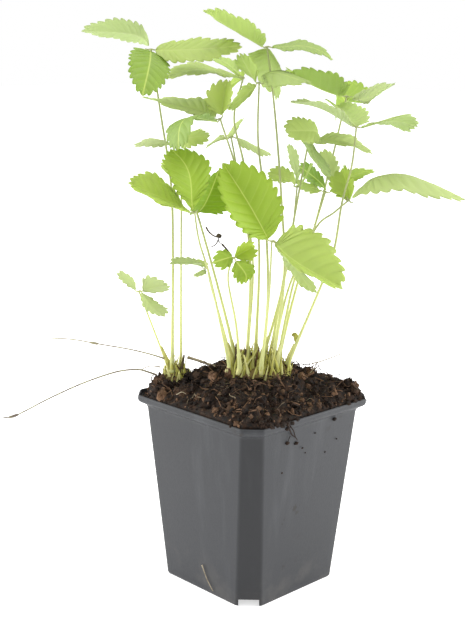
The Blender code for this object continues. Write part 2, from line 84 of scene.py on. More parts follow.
# %% [markdown]
# ## Studio
# A bright, even room: a white surround, a pale floor that glows a little so that it stays white beside
# the pot, a broad lamp overhead, and one large soft lamp on each side. The side lamps light the two
# walls of the pot more than the cut corner between them, and painted shade in the pot's finish darkens
# that corner further; together they give the pot its shape.

# %% Floor and lights
WHITE = (1.0, 1.0, 1.0, 1.0)
scene.view_settings.view_transform = "Standard"
world = bpy.data.worlds.new("surround")
world.use_nodes = True
world.node_tree.nodes["Background"].inputs["Color"].default_value = WHITE
world.node_tree.nodes["Background"].inputs["Strength"].default_value = 1.0
scene.world = world


def soft_lamp(name, where, size, watts):
    data = bpy.data.lights.new(name, "AREA")
    data.shape = "SQUARE"
    data.size = size
    data.energy = watts
    lamp = bpy.data.objects.new(name, data)
    lamp.location = where
    lamp.rotation_euler = (Vector((0, 0, 0.12)) - Vector(where)).to_track_quat("-Z", "Y").to_euler()
    scene.collection.objects.link(lamp)
    return lamp


LAMPS = {
    "lamp_left": (-SIDEWAYS * 1.1 - TO_CAMERA * 0.1 + Vector((0, 0, 0.45)), 0.8, 11.0),
    "lamp_right": (SIDEWAYS * 1.1 - TO_CAMERA * 0.1 + Vector((0, 0, 0.45)), 0.8, 11.0),
    "lamp_over": (-TO_CAMERA * 0.25 + Vector((0, 0, 1.3)), 1.0, 9.0),
}
for lamp_name, (lamp_place, lamp_size, lamp_watts) in LAMPS.items():
    soft_lamp(lamp_name, lamp_place, lamp_size, lamp_watts)

floor_mesh = bpy.data.meshes.new("floor")
REACH = 6.0
corners = [(-REACH, -REACH, 0), (REACH, -REACH, 0), (REACH, REACH, 0), (-REACH, REACH, 0)]
floor_mesh.from_pydata(corners, [], [(0, 1, 2, 3)])
floor = bpy.data.objects.new("floor", floor_mesh)
scene.collection.objects.link(floor)
print("lamps:", len(LAMPS))

# %% [markdown]
# ## How the finishes are written
# Every finish is a small node graph. Two helpers keep the graphs short: one adds a node and joins or
# sets its inputs, and one mixes two colours. The graphs read Object coordinates, which are metres from
# the middle of the pot's foot, or values that the mesh carries with it, such as how far a point on a
# leaf is from its midrib.

# %% Node helpers
def new_material(name):
    mat = bpy.data.materials.new(name)
    mat.use_nodes = True
    return mat


def add(tree, kind, settings=None, inputs=None):
    item = tree.nodes.new(kind)
    for key, value in (settings or {}).items():
        setattr(item, key, value)
    for key, value in (inputs or {}).items():
        socket = item.inputs[key]
        if isinstance(value, bpy.types.NodeSocket):
            tree.links.new(value, socket)
        else:
            socket.default_value = value
    return item


def calc(tree, operation, first, second=0.0, third=0.0, clamp=False):
    settings = {"operation": operation, "use_clamp": clamp}
    return add(tree, "ShaderNodeMath", settings, {0: first, 1: second, 2: third}).outputs[0]


def blend(tree, share, low, high, how="MIX"):
    settings = {"data_type": "RGBA", "blend_type": how, "clamp_factor": True}
    return add(tree, "ShaderNodeMix", settings, {0: share, 6: low, 7: high}).outputs[2]


def step(tree, value, low, high, out_low=0.0, out_high=1.0):
    settings = {"interpolation_type": "SMOOTHSTEP"}
    inputs = {"Value": value, "From Min": low, "From Max": high, "To Min": out_low, "To Max": out_high}
    return add(tree, "ShaderNodeMapRange", settings, inputs).outputs["Result"]


def grain(tree, scale, detail=3.0, stretch=None, rough=0.5):
    place = add(tree, "ShaderNodeTexCoord").outputs["Object"]
    if stretch:
        place = add(tree, "ShaderNodeMapping", None, {"Vector": place, "Scale": stretch}).outputs[0]
    inputs = {"Vector": place, "Scale": scale, "Detail": detail, "Roughness": rough}
    return add(tree, "ShaderNodeTexNoise", None, inputs).outputs["Fac"]


def carried(tree, name):
    return add(tree, "ShaderNodeAttribute", {"attribute_name": name}).outputs["Fac"]


def rgb(red, green, blue):
    def linear(c):
        c = c / 255.0
        return c / 12.92 if c <= 0.04045 else ((c + 0.055) / 1.055) ** 2.4
    return (linear(red), linear(green), linear(blue), 1.0)


def relief(tree, height, strength, distance):
    inputs = {"Strength": strength, "Distance": distance, "Height": height}
    return add(tree, "ShaderNodeBump", None, inputs).outputs[0]


def dress(mat, colour, roughness, normal=None, specular=0.5):
    shader = mat.node_tree.nodes["Principled BSDF"]
    shader.inputs["Specular IOR Level"].default_value = specular
    for key, value in (("Base Color", colour), ("Roughness", roughness), ("Normal", normal)):
        if isinstance(value, bpy.types.NodeSocket):
            mat.node_tree.links.new(value, shader.inputs[key])
        elif value is not None:
            shader.inputs[key].default_value = value
    return shader


floor_mat = new_material("floor_white")
floor_tone = step(floor_mat.node_tree, grain(floor_mat.node_tree, 3.0), 0.3, 0.7, 0.88, 0.92)
floor_shade = add(floor_mat.node_tree, "ShaderNodeCombineColor", None,
    {0: floor_tone, 1: floor_tone, 2: floor_tone})
floor_shader = dress(floor_mat, floor_shade.outputs[0], 0.9, specular=0.1)
floor_shader.inputs["Emission Color"].default_value = WHITE
floor_shader.inputs["Emission Strength"].default_value = 0.6
floor_mesh.materials.append(floor_mat)
print("finishes read Object coordinates in metres")

# %% [markdown]
# ## Mesh helpers
# A piece is made from rings of points joined by faces. The helper closes both ends when it is asked to,
# merges nothing, and turns all the faces outwards, so that each shape is one closed skin.

# %% Mesh helpers
def make_piece(name, verts, faces, mats, smooth=True, face_mats=None):
    mesh = bpy.data.meshes.new(name)
    mesh.from_pydata([tuple(v) for v in verts], [], faces)
    bm = bmesh.new()
    bm.from_mesh(mesh)
    bmesh.ops.recalc_face_normals(bm, faces=bm.faces)
    bm.to_mesh(mesh)
    bm.free()
    for mat in mats:
        mesh.materials.append(mat)
    if face_mats is not None:
        mesh.polygons.foreach_set("material_index", face_mats)
    mesh.polygons.foreach_set("use_smooth", [smooth] * len(mesh.polygons))
    ob = bpy.data.objects.new(name, mesh)
    scene.collection.objects.link(ob)
    return ob


def loft(loops, cap_first=True, cap_last=True):
    n = len(loops[0])
    verts = [p for loop in loops for p in loop]
    faces = []
    for i in range(len(loops) - 1):
        for j in range(n):
            k = (j + 1) % n
            faces.append((i * n + j, i * n + k, (i + 1) * n + k, (i + 1) * n + j))
    if cap_first:
        faces.append(tuple(reversed(range(n))))
    if cap_last:
        base = (len(loops) - 1) * n
        faces.append(tuple(range(base, base + n)))
    return verts, faces


def hand_over(piece, slot, *nodes):
    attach(piece, BODY)
    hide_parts(*nodes)
    return piece


# %% [markdown]
# ## The pot's plastic
# Nursery pots are moulded from recycled plastic: dark grey, a little blue, dull where the mould was
# rough and smoother on the cut corners, which are also coloured darker as painted shade. Handling leaves
# faint upright scuffs, splashes of dried compost below the rim and a grey bloom near the foot. The finish
# mixes those from noise at three sizes.

# %% Pot plastic
def pot_plastic():
    mat = new_material("moulded_plastic")
    t = mat.node_tree
    base = blend(t, grain(t, 9.0, 3.0), rgb(45, 46, 48), rgb(57, 58, 61))
    scuffs = step(t, grain(t, 60.0, 4.0, (1.0, 1.0, 0.12), 0.65), 0.52, 0.74)
    base = blend(t, calc(t, "MULTIPLY", scuffs, 0.17), base, rgb(96, 98, 101))
    place = add(t, "ShaderNodeSeparateXYZ", None, {0: add(t, "ShaderNodeTexCoord").outputs["Object"]})
    low = step(t, place.outputs[2], 0.030, 0.0)
    bloom = calc(t, "MULTIPLY", low, step(t, grain(t, 70.0, 5.0), 0.45, 0.7))
    base = blend(t, calc(t, "MULTIPLY", bloom, 0.22), base, rgb(104, 100, 94))
    # one wall was splashed when the pot was filled
    side = step(t, place.outputs[0], 0.030, 0.036)
    splash = calc(t, "MULTIPLY", side, step(t, grain(t, 120.0, 4.0, None, 0.6), 0.58, 0.68))
    band = step(t, grain(t, 22.0, 2.0), 0.42, 0.58)
    splash = calc(t, "MULTIPLY", splash, band)
    base = blend(t, calc(t, "MULTIPLY", splash, 0.6), base, rgb(38, 33, 29))
    # painted shade: the cut corners are coloured darker because they face the camera and catch little of
    # the side lamps; they also came off a polished part of the mould, so they are a little smoother
    size = calc(t, "ADD", calc(t, "ABSOLUTE", place.outputs[0]), calc(t, "ABSOLUTE", place.outputs[1]))
    lean = calc(t, "MULTIPLY_ADD", place.outputs[2], 0.165, 0.0601)
    corner_shade_and_gloss = step(t, calc(t, "SUBTRACT", size, lean), -0.0013, 0.0008)
    below = step(t, place.outputs[2], 0.0935, 0.0905)
    corner_shade_and_gloss = calc(t, "MULTIPLY", corner_shade_and_gloss, below)
    base = blend(t, calc(t, "MULTIPLY", corner_shade_and_gloss, 0.9), base, rgb(30, 30, 32))
    speckle = grain(t, 900.0, 2.0)
    rough = calc(t, "MULTIPLY_ADD", corner_shade_and_gloss, -0.10, calc(t, "MULTIPLY_ADD", speckle, 0.16, 0.42))
    height = calc(t, "ADD", speckle, calc(t, "MULTIPLY", grain(t, 40.0, 3.0, (1, 1, 0.2)), 1.5))
    dress(mat, base, rough, relief(t, height, 0.25, 0.0002), 0.25)
    return mat


POT_MAT = pot_plastic()
print("pot finish:", len(POT_MAT.node_tree.nodes), "nodes")

# %% [markdown]
# ## The pot
# The real pot is one thin moulded shell: four walls that lean outwards, corners cut off flat, and a
# stepped rim that stiffens the top. It is lofted here through square rings with rounded corners, first up
# the outside, over the lip, then down the inside. The foot has a notch and a drain hole under each
# corner, and these are cut out with Booleans because that is what the mould's cores do.

# %% Pot shell
WALL, FLOOR_Z = 1.1, 1.5
WALL_TOP, WALL_FOOT, STEP_Z = 41.5, 34.5, 92.0
LEG_TOP, LEG_FOOT, LEDGE_LEG, LEDGE_Z = 7.6, 8.8, 29.4, 5.4
ARC_POINTS = 6


def square_ring(half, leg, z, rounding, arc=ARC_POINTS):
    # a square with cut corners: each corner of the cut is a small arc
    pts = []
    t = rounding * math.tan(math.radians(22.5))
    for k in range(4):
        quarter = Matrix.Rotation(k * math.pi / 2, 2)
        ends = (((half, half - leg), 0.0), ((half - leg, half), 45.0))
        for (vx, vy), start in ends:
            d = math.radians(start + 90.0)
            c = Vector((vx, vy)) - Vector((math.cos(d), math.sin(d))) * t
            c -= Vector((math.cos(math.radians(start)), math.sin(math.radians(start)))) * rounding
            for i in range(arc):
                w = math.radians(start + 45.0 * i / (arc - 1))
                q = quarter @ (c + Vector((math.cos(w), math.sin(w))) * rounding)
                pts.append(Vector((q.x * MM, q.y * MM, z * MM)))
    return pts


def wall_half(z):
    return WALL_FOOT + (WALL_TOP - WALL_FOOT) * z / STEP_Z


def wall_leg(z):
    return LEG_FOOT + (LEG_TOP - LEG_FOOT) * z / STEP_Z


outside = [(33.6, LEG_FOOT, 0.0, 3.0), (wall_half(0.25) - 0.3, wall_leg(0), 0.25, 3.0)]
outside += [(wall_half(z), wall_leg(z), z, 3.0) for z in (0.9, 3, 12, 24, 36, 48, 60, 72, 84, 90.6)]
outside += [(h, LEG_TOP, z, 3.0) for h, z in (
    (41.6, 91.5), (41.9, 92.2), (42.5, 92.8), (43.4, 93.3), (44.2, 93.8), (44.75, 94.4), (45.0, 95.1),
    (45.0, 96.2), (44.9, 96.9), (44.6, 97.3))]
inside = [(44.3, LEG_TOP - 0.3, 97.4, 2.4), (44.05, LEG_TOP - 0.6, 97.2, 1.9),
    (43.9, LEG_TOP - 0.6, 96.6, 1.9)]
inside += [(h, LEG_TOP - 0.6, z, 1.9) for h, z in ((43.8, 95.2), (43.1, 94.4), (41.8, 93.8), (40.7, 93.0))]
inside += [(wall_half(z) - WALL, wall_leg(z) - 0.64, z, 1.9) for z in (91, 60, 30, LEDGE_Z + 0.2)]
inside += [(wall_half(z) - WALL, LEDGE_LEG, z, 1.9) for z in (LEDGE_Z - 0.2, FLOOR_Z)]
pot_loops = [square_ring(*ring) for ring in outside + inside]
pot_verts, pot_faces = loft(pot_loops)
pot = make_piece("pot_shell", pot_verts, pot_faces, [POT_MAT])

reach = (2 * WALL_FOOT - LEG_FOOT) / math.sqrt(2)
cutters = []
for k in range(4):
    w = math.radians(45 + 90 * k)
    out = Vector((math.cos(w), math.sin(w), 0.0))
    side = Vector((-math.sin(w), math.cos(w), 0.0))
    outline = [(-15.0, -5.2), (3.0, -5.2), (3.0, 5.2), (-15.0, 5.2)]
    box = [[(out * (reach + e) + side * s + Vector((0, 0, z))) * MM for e, s in outline]
        for z in (-1.0, 3.9)]
    drain = [[(out * (reach - 7.0 + 2 * math.cos(math.pi * i / 8)) + side * 2 * math.sin(math.pi * i / 8)
               + Vector((0, 0, z))) * MM for i in range(16)] for z in (2.9, 7.4)]
    for loops in (box, drain):
        cutters.append(make_piece("core", *loft(loops), [], False))
for core in cutters:
    cut = pot.modifiers.new("core", "BOOLEAN")
    cut.operation = "DIFFERENCE"
    cut.solver = "EXACT"
    cut.object = core


def settle(ob):
    # the evaluated shape becomes the object's own mesh, and no modifier is left
    graph = bpy.context.evaluated_depsgraph_get()
    mesh = bpy.data.meshes.new_from_object(ob.evaluated_get(graph), preserve_all_data_layers=True,
        depsgraph=graph)
    ob.modifiers.clear()
    ob.data = mesh
    return ob


settle(pot)
for core in cutters:
    bpy.data.objects.remove(core, do_unlink=True)
pot.data.set_sharp_from_angle(angle=math.radians(40))
hand_over(pot, "pot_plastic", "pot")
print("pot faces:", len(pot.data.polygons))

# %% [markdown]
# ## Growing pieces with Geometry Nodes
# Whatever repeats on this plant is grown by a node tree: crumbs and roots on the peat, scales round the
# crowns, and round stems with their hairs. A tree is built once with named inputs, given to an object as
# a modifier, its inputs set by each socket's identifier, and the result kept as a plain mesh.

# %% Tree helpers
KINDS = {"Float": "NodeSocketFloat", "Int": "NodeSocketInt", "Material": "NodeSocketMaterial"}


def new_tree(name, sizes):
    tree = bpy.data.node_groups.new(name, "GeometryNodeTree")
    tree.interface.new_socket("Geometry", in_out="INPUT", socket_type="NodeSocketGeometry")
    tree.interface.new_socket("Geometry", in_out="OUTPUT", socket_type="NodeSocketGeometry")
    for label, kind in sizes:
        tree.interface.new_socket(label, in_out="INPUT", socket_type=KINDS[kind])
    return tree, tree.nodes.new("NodeGroupInput").outputs


def grow(ob, tree, values):
    mod = ob.modifiers.new("grow", "NODES")
    mod.node_group = tree
    for item in tree.interface.items_tree:
        if item.item_type == "SOCKET" and item.in_out == "INPUT" and item.name in values:
            mod[item.identifier] = values[item.name]
    settle(ob)
    return ob


def finish_tree(tree, geometry, material):
    real = add(tree, "GeometryNodeRealizeInstances", None, {"Geometry": geometry})
    painted = add(tree, "GeometryNodeSetMaterial", None,
        {"Geometry": real.outputs[0], "Material": material})
    add(tree, "NodeGroupOutput", None, {0: painted.outputs[0]})


def random_float(tree, low, high, seed):
    return add(tree, "FunctionNodeRandomValue", {"data_type": "FLOAT"},
        {2: low, 3: high, "Seed": seed}).outputs[1]


def random_turn(tree, most, seed):
    settings = {"data_type": "FLOAT_VECTOR"}
    low = (-most[0], -most[1], -most[2])
    return add(tree, "FunctionNodeRandomValue", settings, {0: low, 1: most, "Seed": seed}).outputs[0]


print("socket kinds:", sorted(KINDS))

# %% [markdown]
# ## Peat
# The compost is coarse peat: dark brown lumps, redder fibres and a few pale bits of straw. Each crumb
# carries its own tone, so one finish can give every lump a slightly different brown. The noise that
# roughens the finest grains also darkens their hollows: partly the peat's own dark colour, partly painted
# shade.

# %% Peat finish
def peat(name, dark, mid, light):
    mat = new_material(name)
    t = mat.node_tree
    own = carried(t, "tone")
    fine = grain(t, 420.0, 5.0, None, 0.7)
    # the darkest colour falls in the hollows of the bump noise: partly real dark peat, partly painted
    # shade
    body = blend(t, step(t, fine, 0.35, 0.65), dark, mid)
    shade = calc(t, "MULTIPLY", step(t, own, 0.55, 1.0),
        step(t, grain(t, 250.0, 3.0), 0.35, 0.6, 0.4, 1.0))
    body = blend(t, shade, body, light)
    rough = step(t, fine, 0.3, 0.7, 0.75, 0.95)
    dress(mat, body, rough, relief(t, fine, 0.9, 0.0008), 0.25)
    return mat


PEAT = peat("peat_crumbly", rgb(10, 7, 4), rgb(46, 31, 21), rgb(118, 90, 68))
STRAW = peat("dry_straw", rgb(96, 84, 66), rgb(146, 132, 108), rgb(178, 168, 146))
print("peat and straw share one graph")

# %% [markdown]
# ## The mound of peat
# The peat fills the pot, stands proud of the rim in the middle where the crowns were pressed in, and
# falls away at the corners. The top is a fan of square rings: the broad mound comes from a short table of
# heights, and noise at three sizes adds lumps, so the surface is rough even before any crumb is placed.

# %% Peat body
SOIL_HALF = 43.3
MOUND = ((0.0, 112.0), (0.3, 111.0), (0.5, 109.0), (0.66, 106.2), (0.82, 102.2), (0.93, 98.8), (1.0, 96.4))
CROWNS = {
    "crown_main": (8, -3, 17, 12, 45, 110, 118),
    "crown_side": (-30, -26, 8, 7, 45, 103.5, 111),
}
RING_ARC = 5
RING_STEPS = 44


def mound(x, y):
    s = min(1.0, max(abs(x), abs(y)) / SOIL_HALF)
    z = float(np.interp(s, [m[0] for m in MOUND], [m[1] for m in MOUND]))
    for cx, cy, rl, rw, _, foot, _ in CROWNS.values():
        w = 1.0 - (math.hypot(x - cx, y - cy) - max(rl, rw) - 2.0) / 6.0
        w = min(1.0, max(0.0, w))
        w = w * w * (3.0 - 2.0 * w)
        z = z * (1.0 - w) + (foot - 0.3) * w
    edge = min(1.0, (1.0 - s) * 7.0)
    spot = Vector((x, y, 0.0))
    lumps = 2.4 * noise.noise(spot * 0.13) + 2.4 * noise.noise(spot * 0.27) + 1.5 * noise.noise(spot * 0.6)
    # the peat has settled away from the corner behind the side crown
    hollow = max(0.0, 1.0 - math.hypot(x + 40.0, y + 40.0) / 11.0)
    heap = max(0.0, 1.0 - (42.0 - max(x, -y)) / 9.0) * (1.0 - hollow)
    # and it dips between the two crowns
    dip = max(0.0, 1.0 - math.hypot(x + 21.0, y + 7.0) / 12.0)
    dip = dip * dip * (3.0 - 2.0 * dip)
    return z + lumps * (0.25 + 0.75 * edge) - 5.0 * hollow + 1.6 * heap - 5.0 * dip


def ring_on_mound(s):
    ring = []
    base = square_ring(SOIL_HALF * s, 6.8 * s, 0.0, 1.6 * s, RING_ARC)
    n = len(base)
    for i, p in enumerate(base):
        q = base[(i + 1) % n]
        parts = 1 if (q - p).length < 6 * MM * s else 26
        for k in range(parts):
            m = p.lerp(q, k / parts)
            ring.append(Vector((m.x, m.y, mound(m.x / MM, m.y / MM) * MM)))
    return ring


def plain_ring(half, leg, z):
    ring = []
    base = square_ring(half, leg, z, 1.6, RING_ARC)
    outer = square_ring(SOIL_HALF, 6.8, z, 1.6, RING_ARC)
    n = len(base)
    for i, p in enumerate(base):
        q = base[(i + 1) % n]
        parts = 1 if (outer[(i + 1) % n] - outer[i]).length < 6 * MM else 26
        ring.extend(p.lerp(q, k / parts) for k in range(parts))
    return ring


soil_loops = [plain_ring(wall_half(z) - 1.4, leg, z) for z, leg in ((1.8, 29.2), (5.7, 29.2), (6.2, 8.0))]
soil_loops += [plain_ring(wall_half(z) - 1.4, wall_leg(z) - 0.8, z) for z in (30, 60, 90.8)]
soil_loops += [plain_ring(h, 6.8, z) for z, h in ((93.3, 40.35), (94.2, 41.4), (94.9, 42.7))]
soil_loops += [ring_on_mound(1.0 - i / RING_STEPS) for i in range(RING_STEPS)]
soil_verts, soil_faces = loft(soil_loops, cap_last=False)
ring_size = len(soil_loops[0])
soil_verts.append(Vector((0, 0, mound(0, 0) * MM)))
last = (len(soil_loops) - 1) * ring_size
soil_faces += [(last + j, last + (j + 1) % ring_size, len(soil_verts) - 1) for j in range(ring_size)]
soil = make_piece("peat_mound", soil_verts, soil_faces, [PEAT])
tone = soil.data.attributes.new("tone", "FLOAT", "POINT")
tone.data.foreach_set("value", [0.5 + 0.5 * noise.noise(v.co * 400.0) for v in soil.data.vertices])
print("peat top points:", ring_size * RING_STEPS)

# %% [markdown]
# ## Crumbs, roots and straw on the peat
# Loose lumps lie all over the top, with fine roots and fibres between them. A tree scatters points on a
# copy of the top, puts a small rough ball on each, turns and stretches it at random, and pushes its points
# about with noise once the balls are real, so that no two are alike. Fibres are bent threads put down by
# a second tree in the same way.

# %% Crumb tree
def crumb_tree():
    tree, given = new_tree("crumbs", [
        ("Crumbs per square metre", "Float"), ("Least size", "Float"), ("Greatest size", "Float"),
        ("Cuts", "Int"), ("Seed", "Int"), ("Material", "Material")])
    spots = add(tree, "GeometryNodeDistributePointsOnFaces", None, {
        "Mesh": given["Geometry"], "Density": given["Crumbs per square metre"], "Seed": given["Seed"]})
    ball = add(tree, "GeometryNodeMeshIcoSphere", None, {"Radius": 1.0, "Subdivisions": given["Cuts"]})
    size = random_float(tree, given["Least size"], given["Greatest size"], given["Seed"])
    stretch = add(tree, "FunctionNodeRandomValue", {"data_type": "FLOAT_VECTOR"}, {
        0: (0.7, 0.55, 0.45), 1: (1.5, 1.0, 0.9), "Seed": 5}).outputs[0]
    scale = add(tree, "ShaderNodeVectorMath", {"operation": "SCALE"},
        {0: stretch, "Scale": size}).outputs[0]
    put = add(tree, "GeometryNodeInstanceOnPoints", None, {
        "Points": spots.outputs["Points"], "Instance": ball.outputs["Mesh"],
        "Rotation": random_turn(tree, (3.1, 3.1, 3.1), 8), "Scale": scale})
    toned = add(tree, "GeometryNodeStoreNamedAttribute", {"data_type": "FLOAT", "domain": "INSTANCE"}, {
        "Geometry": put.outputs[0], "Name": "tone", "Value": random_float(tree, 0.0, 1.0, 11)})
    real = add(tree, "GeometryNodeRealizeInstances", None, {0: toned.outputs[0]})
    place = add(tree, "GeometryNodeInputPosition").outputs[0]
    wander = add(tree, "ShaderNodeTexNoise", {"noise_dimensions": "3D"}, {
        "Vector": place, "Scale": 900.0, "Detail": 2.0}).outputs["Color"]
    centred = add(tree, "ShaderNodeVectorMath", {"operation": "SUBTRACT"}, {0: wander, 1: (0.5, 0.5, 0.5)})
    push = add(tree, "ShaderNodeVectorMath", {"operation": "SCALE"}, {
        0: centred.outputs[0], "Scale": calc(tree, "MULTIPLY", given["Greatest size"], 1.5)})
    moved = add(tree, "GeometryNodeSetPosition", None,
        {"Geometry": real.outputs[0], "Offset": push.outputs[0]})
    finish_tree(tree, moved.outputs[0], given["Material"])
    return tree


CRUMBS = crumb_tree()
print("crumb tree nodes:", len(CRUMBS.nodes))

# %% Fibre tree
def fibre_tree():
    tree, given = new_tree("fibres", [
        ("Fibres per square metre", "Float"), ("Length", "Float"), ("Thickness", "Float"),
            ("Bend", "Float"),
        ("Seed", "Int"), ("Material", "Material")])
    spots = add(tree, "GeometryNodeDistributePointsOnFaces", None, {
        "Mesh": given["Geometry"], "Density": given["Fibres per square metre"], "Seed": given["Seed"]})
    thread = add(tree, "GeometryNodeMeshCylinder", None, {
        "Vertices": 4, "Side Segments": 7, "Radius": given["Thickness"], "Depth": given["Length"]})
    laid = add(tree, "GeometryNodeTransform", None, {
        "Geometry": thread.outputs["Mesh"], "Rotation": (0.0, math.radians(90.0), 0.0)})
    size = random_float(tree, 0.4, 1.1, given["Seed"])
    put = add(tree, "GeometryNodeInstanceOnPoints", None, {
        "Points": spots.outputs["Points"], "Instance": laid.outputs[0],
        "Rotation": random_turn(tree, (0.5, 0.5, 3.1), 3), "Scale": size})
    toned = add(tree, "GeometryNodeStoreNamedAttribute", {"data_type": "FLOAT", "domain": "INSTANCE"}, {
        "Geometry": put.outputs[0], "Name": "tone", "Value": random_float(tree, 0.3, 1.0, 4)})
    real = add(tree, "GeometryNodeRealizeInstances", None, {0: toned.outputs[0]})
    place = add(tree, "GeometryNodeInputPosition").outputs[0]
    wander = add(tree, "ShaderNodeTexNoise", {"noise_dimensions": "3D"}, {
        "Vector": place, "Scale": 130.0, "Detail": 1.0}).outputs["Color"]
    centred = add(tree, "ShaderNodeVectorMath", {"operation": "SUBTRACT"}, {0: wander, 1: (0.5, 0.5, 0.5)})
    push = add(tree, "ShaderNodeVectorMath", {"operation": "SCALE"},
        {0: centred.outputs[0], "Scale": given["Bend"]})
    moved = add(tree, "GeometryNodeSetPosition", None,
        {"Geometry": real.outputs[0], "Offset": push.outputs[0]})
    finish_tree(tree, moved.outputs[0], given["Material"])
    return tree


FIBRES = fibre_tree()
print("fibre tree nodes:", len(FIBRES.nodes))

# %% Scatter on the peat
def top_patch(name, reach_share, lift):
    # the top of the mound as an open sheet that the trees scatter points on
    loops = [ring_on_mound(reach_share * (1.0 - i / 12)) for i in range(12)]
    for loop in loops:
        for q in loop:
            q.z += lift * MM
    return make_piece(name, *loft(loops, False, True), [])


def join(target, others):
    # one mesh from several, each face keeping its own finish
    slots = []
    kinds = []
    bm = bmesh.new()
    for ob in [target] + others:
        for poly in ob.data.polygons:
            mat = ob.data.materials[poly.material_index]
            if mat not in slots:
                slots.append(mat)
            kinds.append(slots.index(mat))
        bm.from_mesh(ob.data)
    bm.to_mesh(target.data)
    bm.free()
    target.data.materials.clear()
    for mat in slots:
        target.data.materials.append(mat)
    target.data.polygons.foreach_set("material_index", kinds)
    for ob in others:
        bpy.data.objects.remove(ob, do_unlink=True)
    return target


scatter = []
for label, per_area, small, large, cuts, seed, share in (
        ("clods", 17000, 1.8, 3.4, 3, 2, 0.97), ("lumps", 52000, 0.9, 1.9, 2, 3, 0.98),
        ("crumbs", 90000, 0.5, 0.95, 2, 4, 1.01), ("grit", 160000, 0.25, 0.5, 1, 5, 1.01)):
    patch = top_patch(label, share, 0.0)
    scatter.append(grow(patch, CRUMBS, {
        "Crumbs per square metre": float(per_area), "Least size": small * MM, "Greatest size": large * MM,
        "Cuts": cuts, "Seed": seed, "Material": PEAT}))
    print(label, "faces:", len(patch.data.polygons))
for label, per_area, length, thick, seed, mat in (
        ("roots", 60000, 13.0, 0.22, 6, PEAT), ("straws", 5000, 9.0, 0.22, 7, STRAW)):
    patch = top_patch(label, 0.93, 1.2)
    scatter.append(grow(patch, FIBRES, {
        "Fibres per square metre": float(per_area), "Length": length * MM, "Thickness": thick * MM,
        "Bend": 9.0 * MM, "Seed": seed, "Material": mat}))
    print(label, "faces:", len(patch.data.polygons))
join(soil, scatter)
hand_over(soil, "peat", "soil")
print("peat faces:", len(soil.data.polygons))
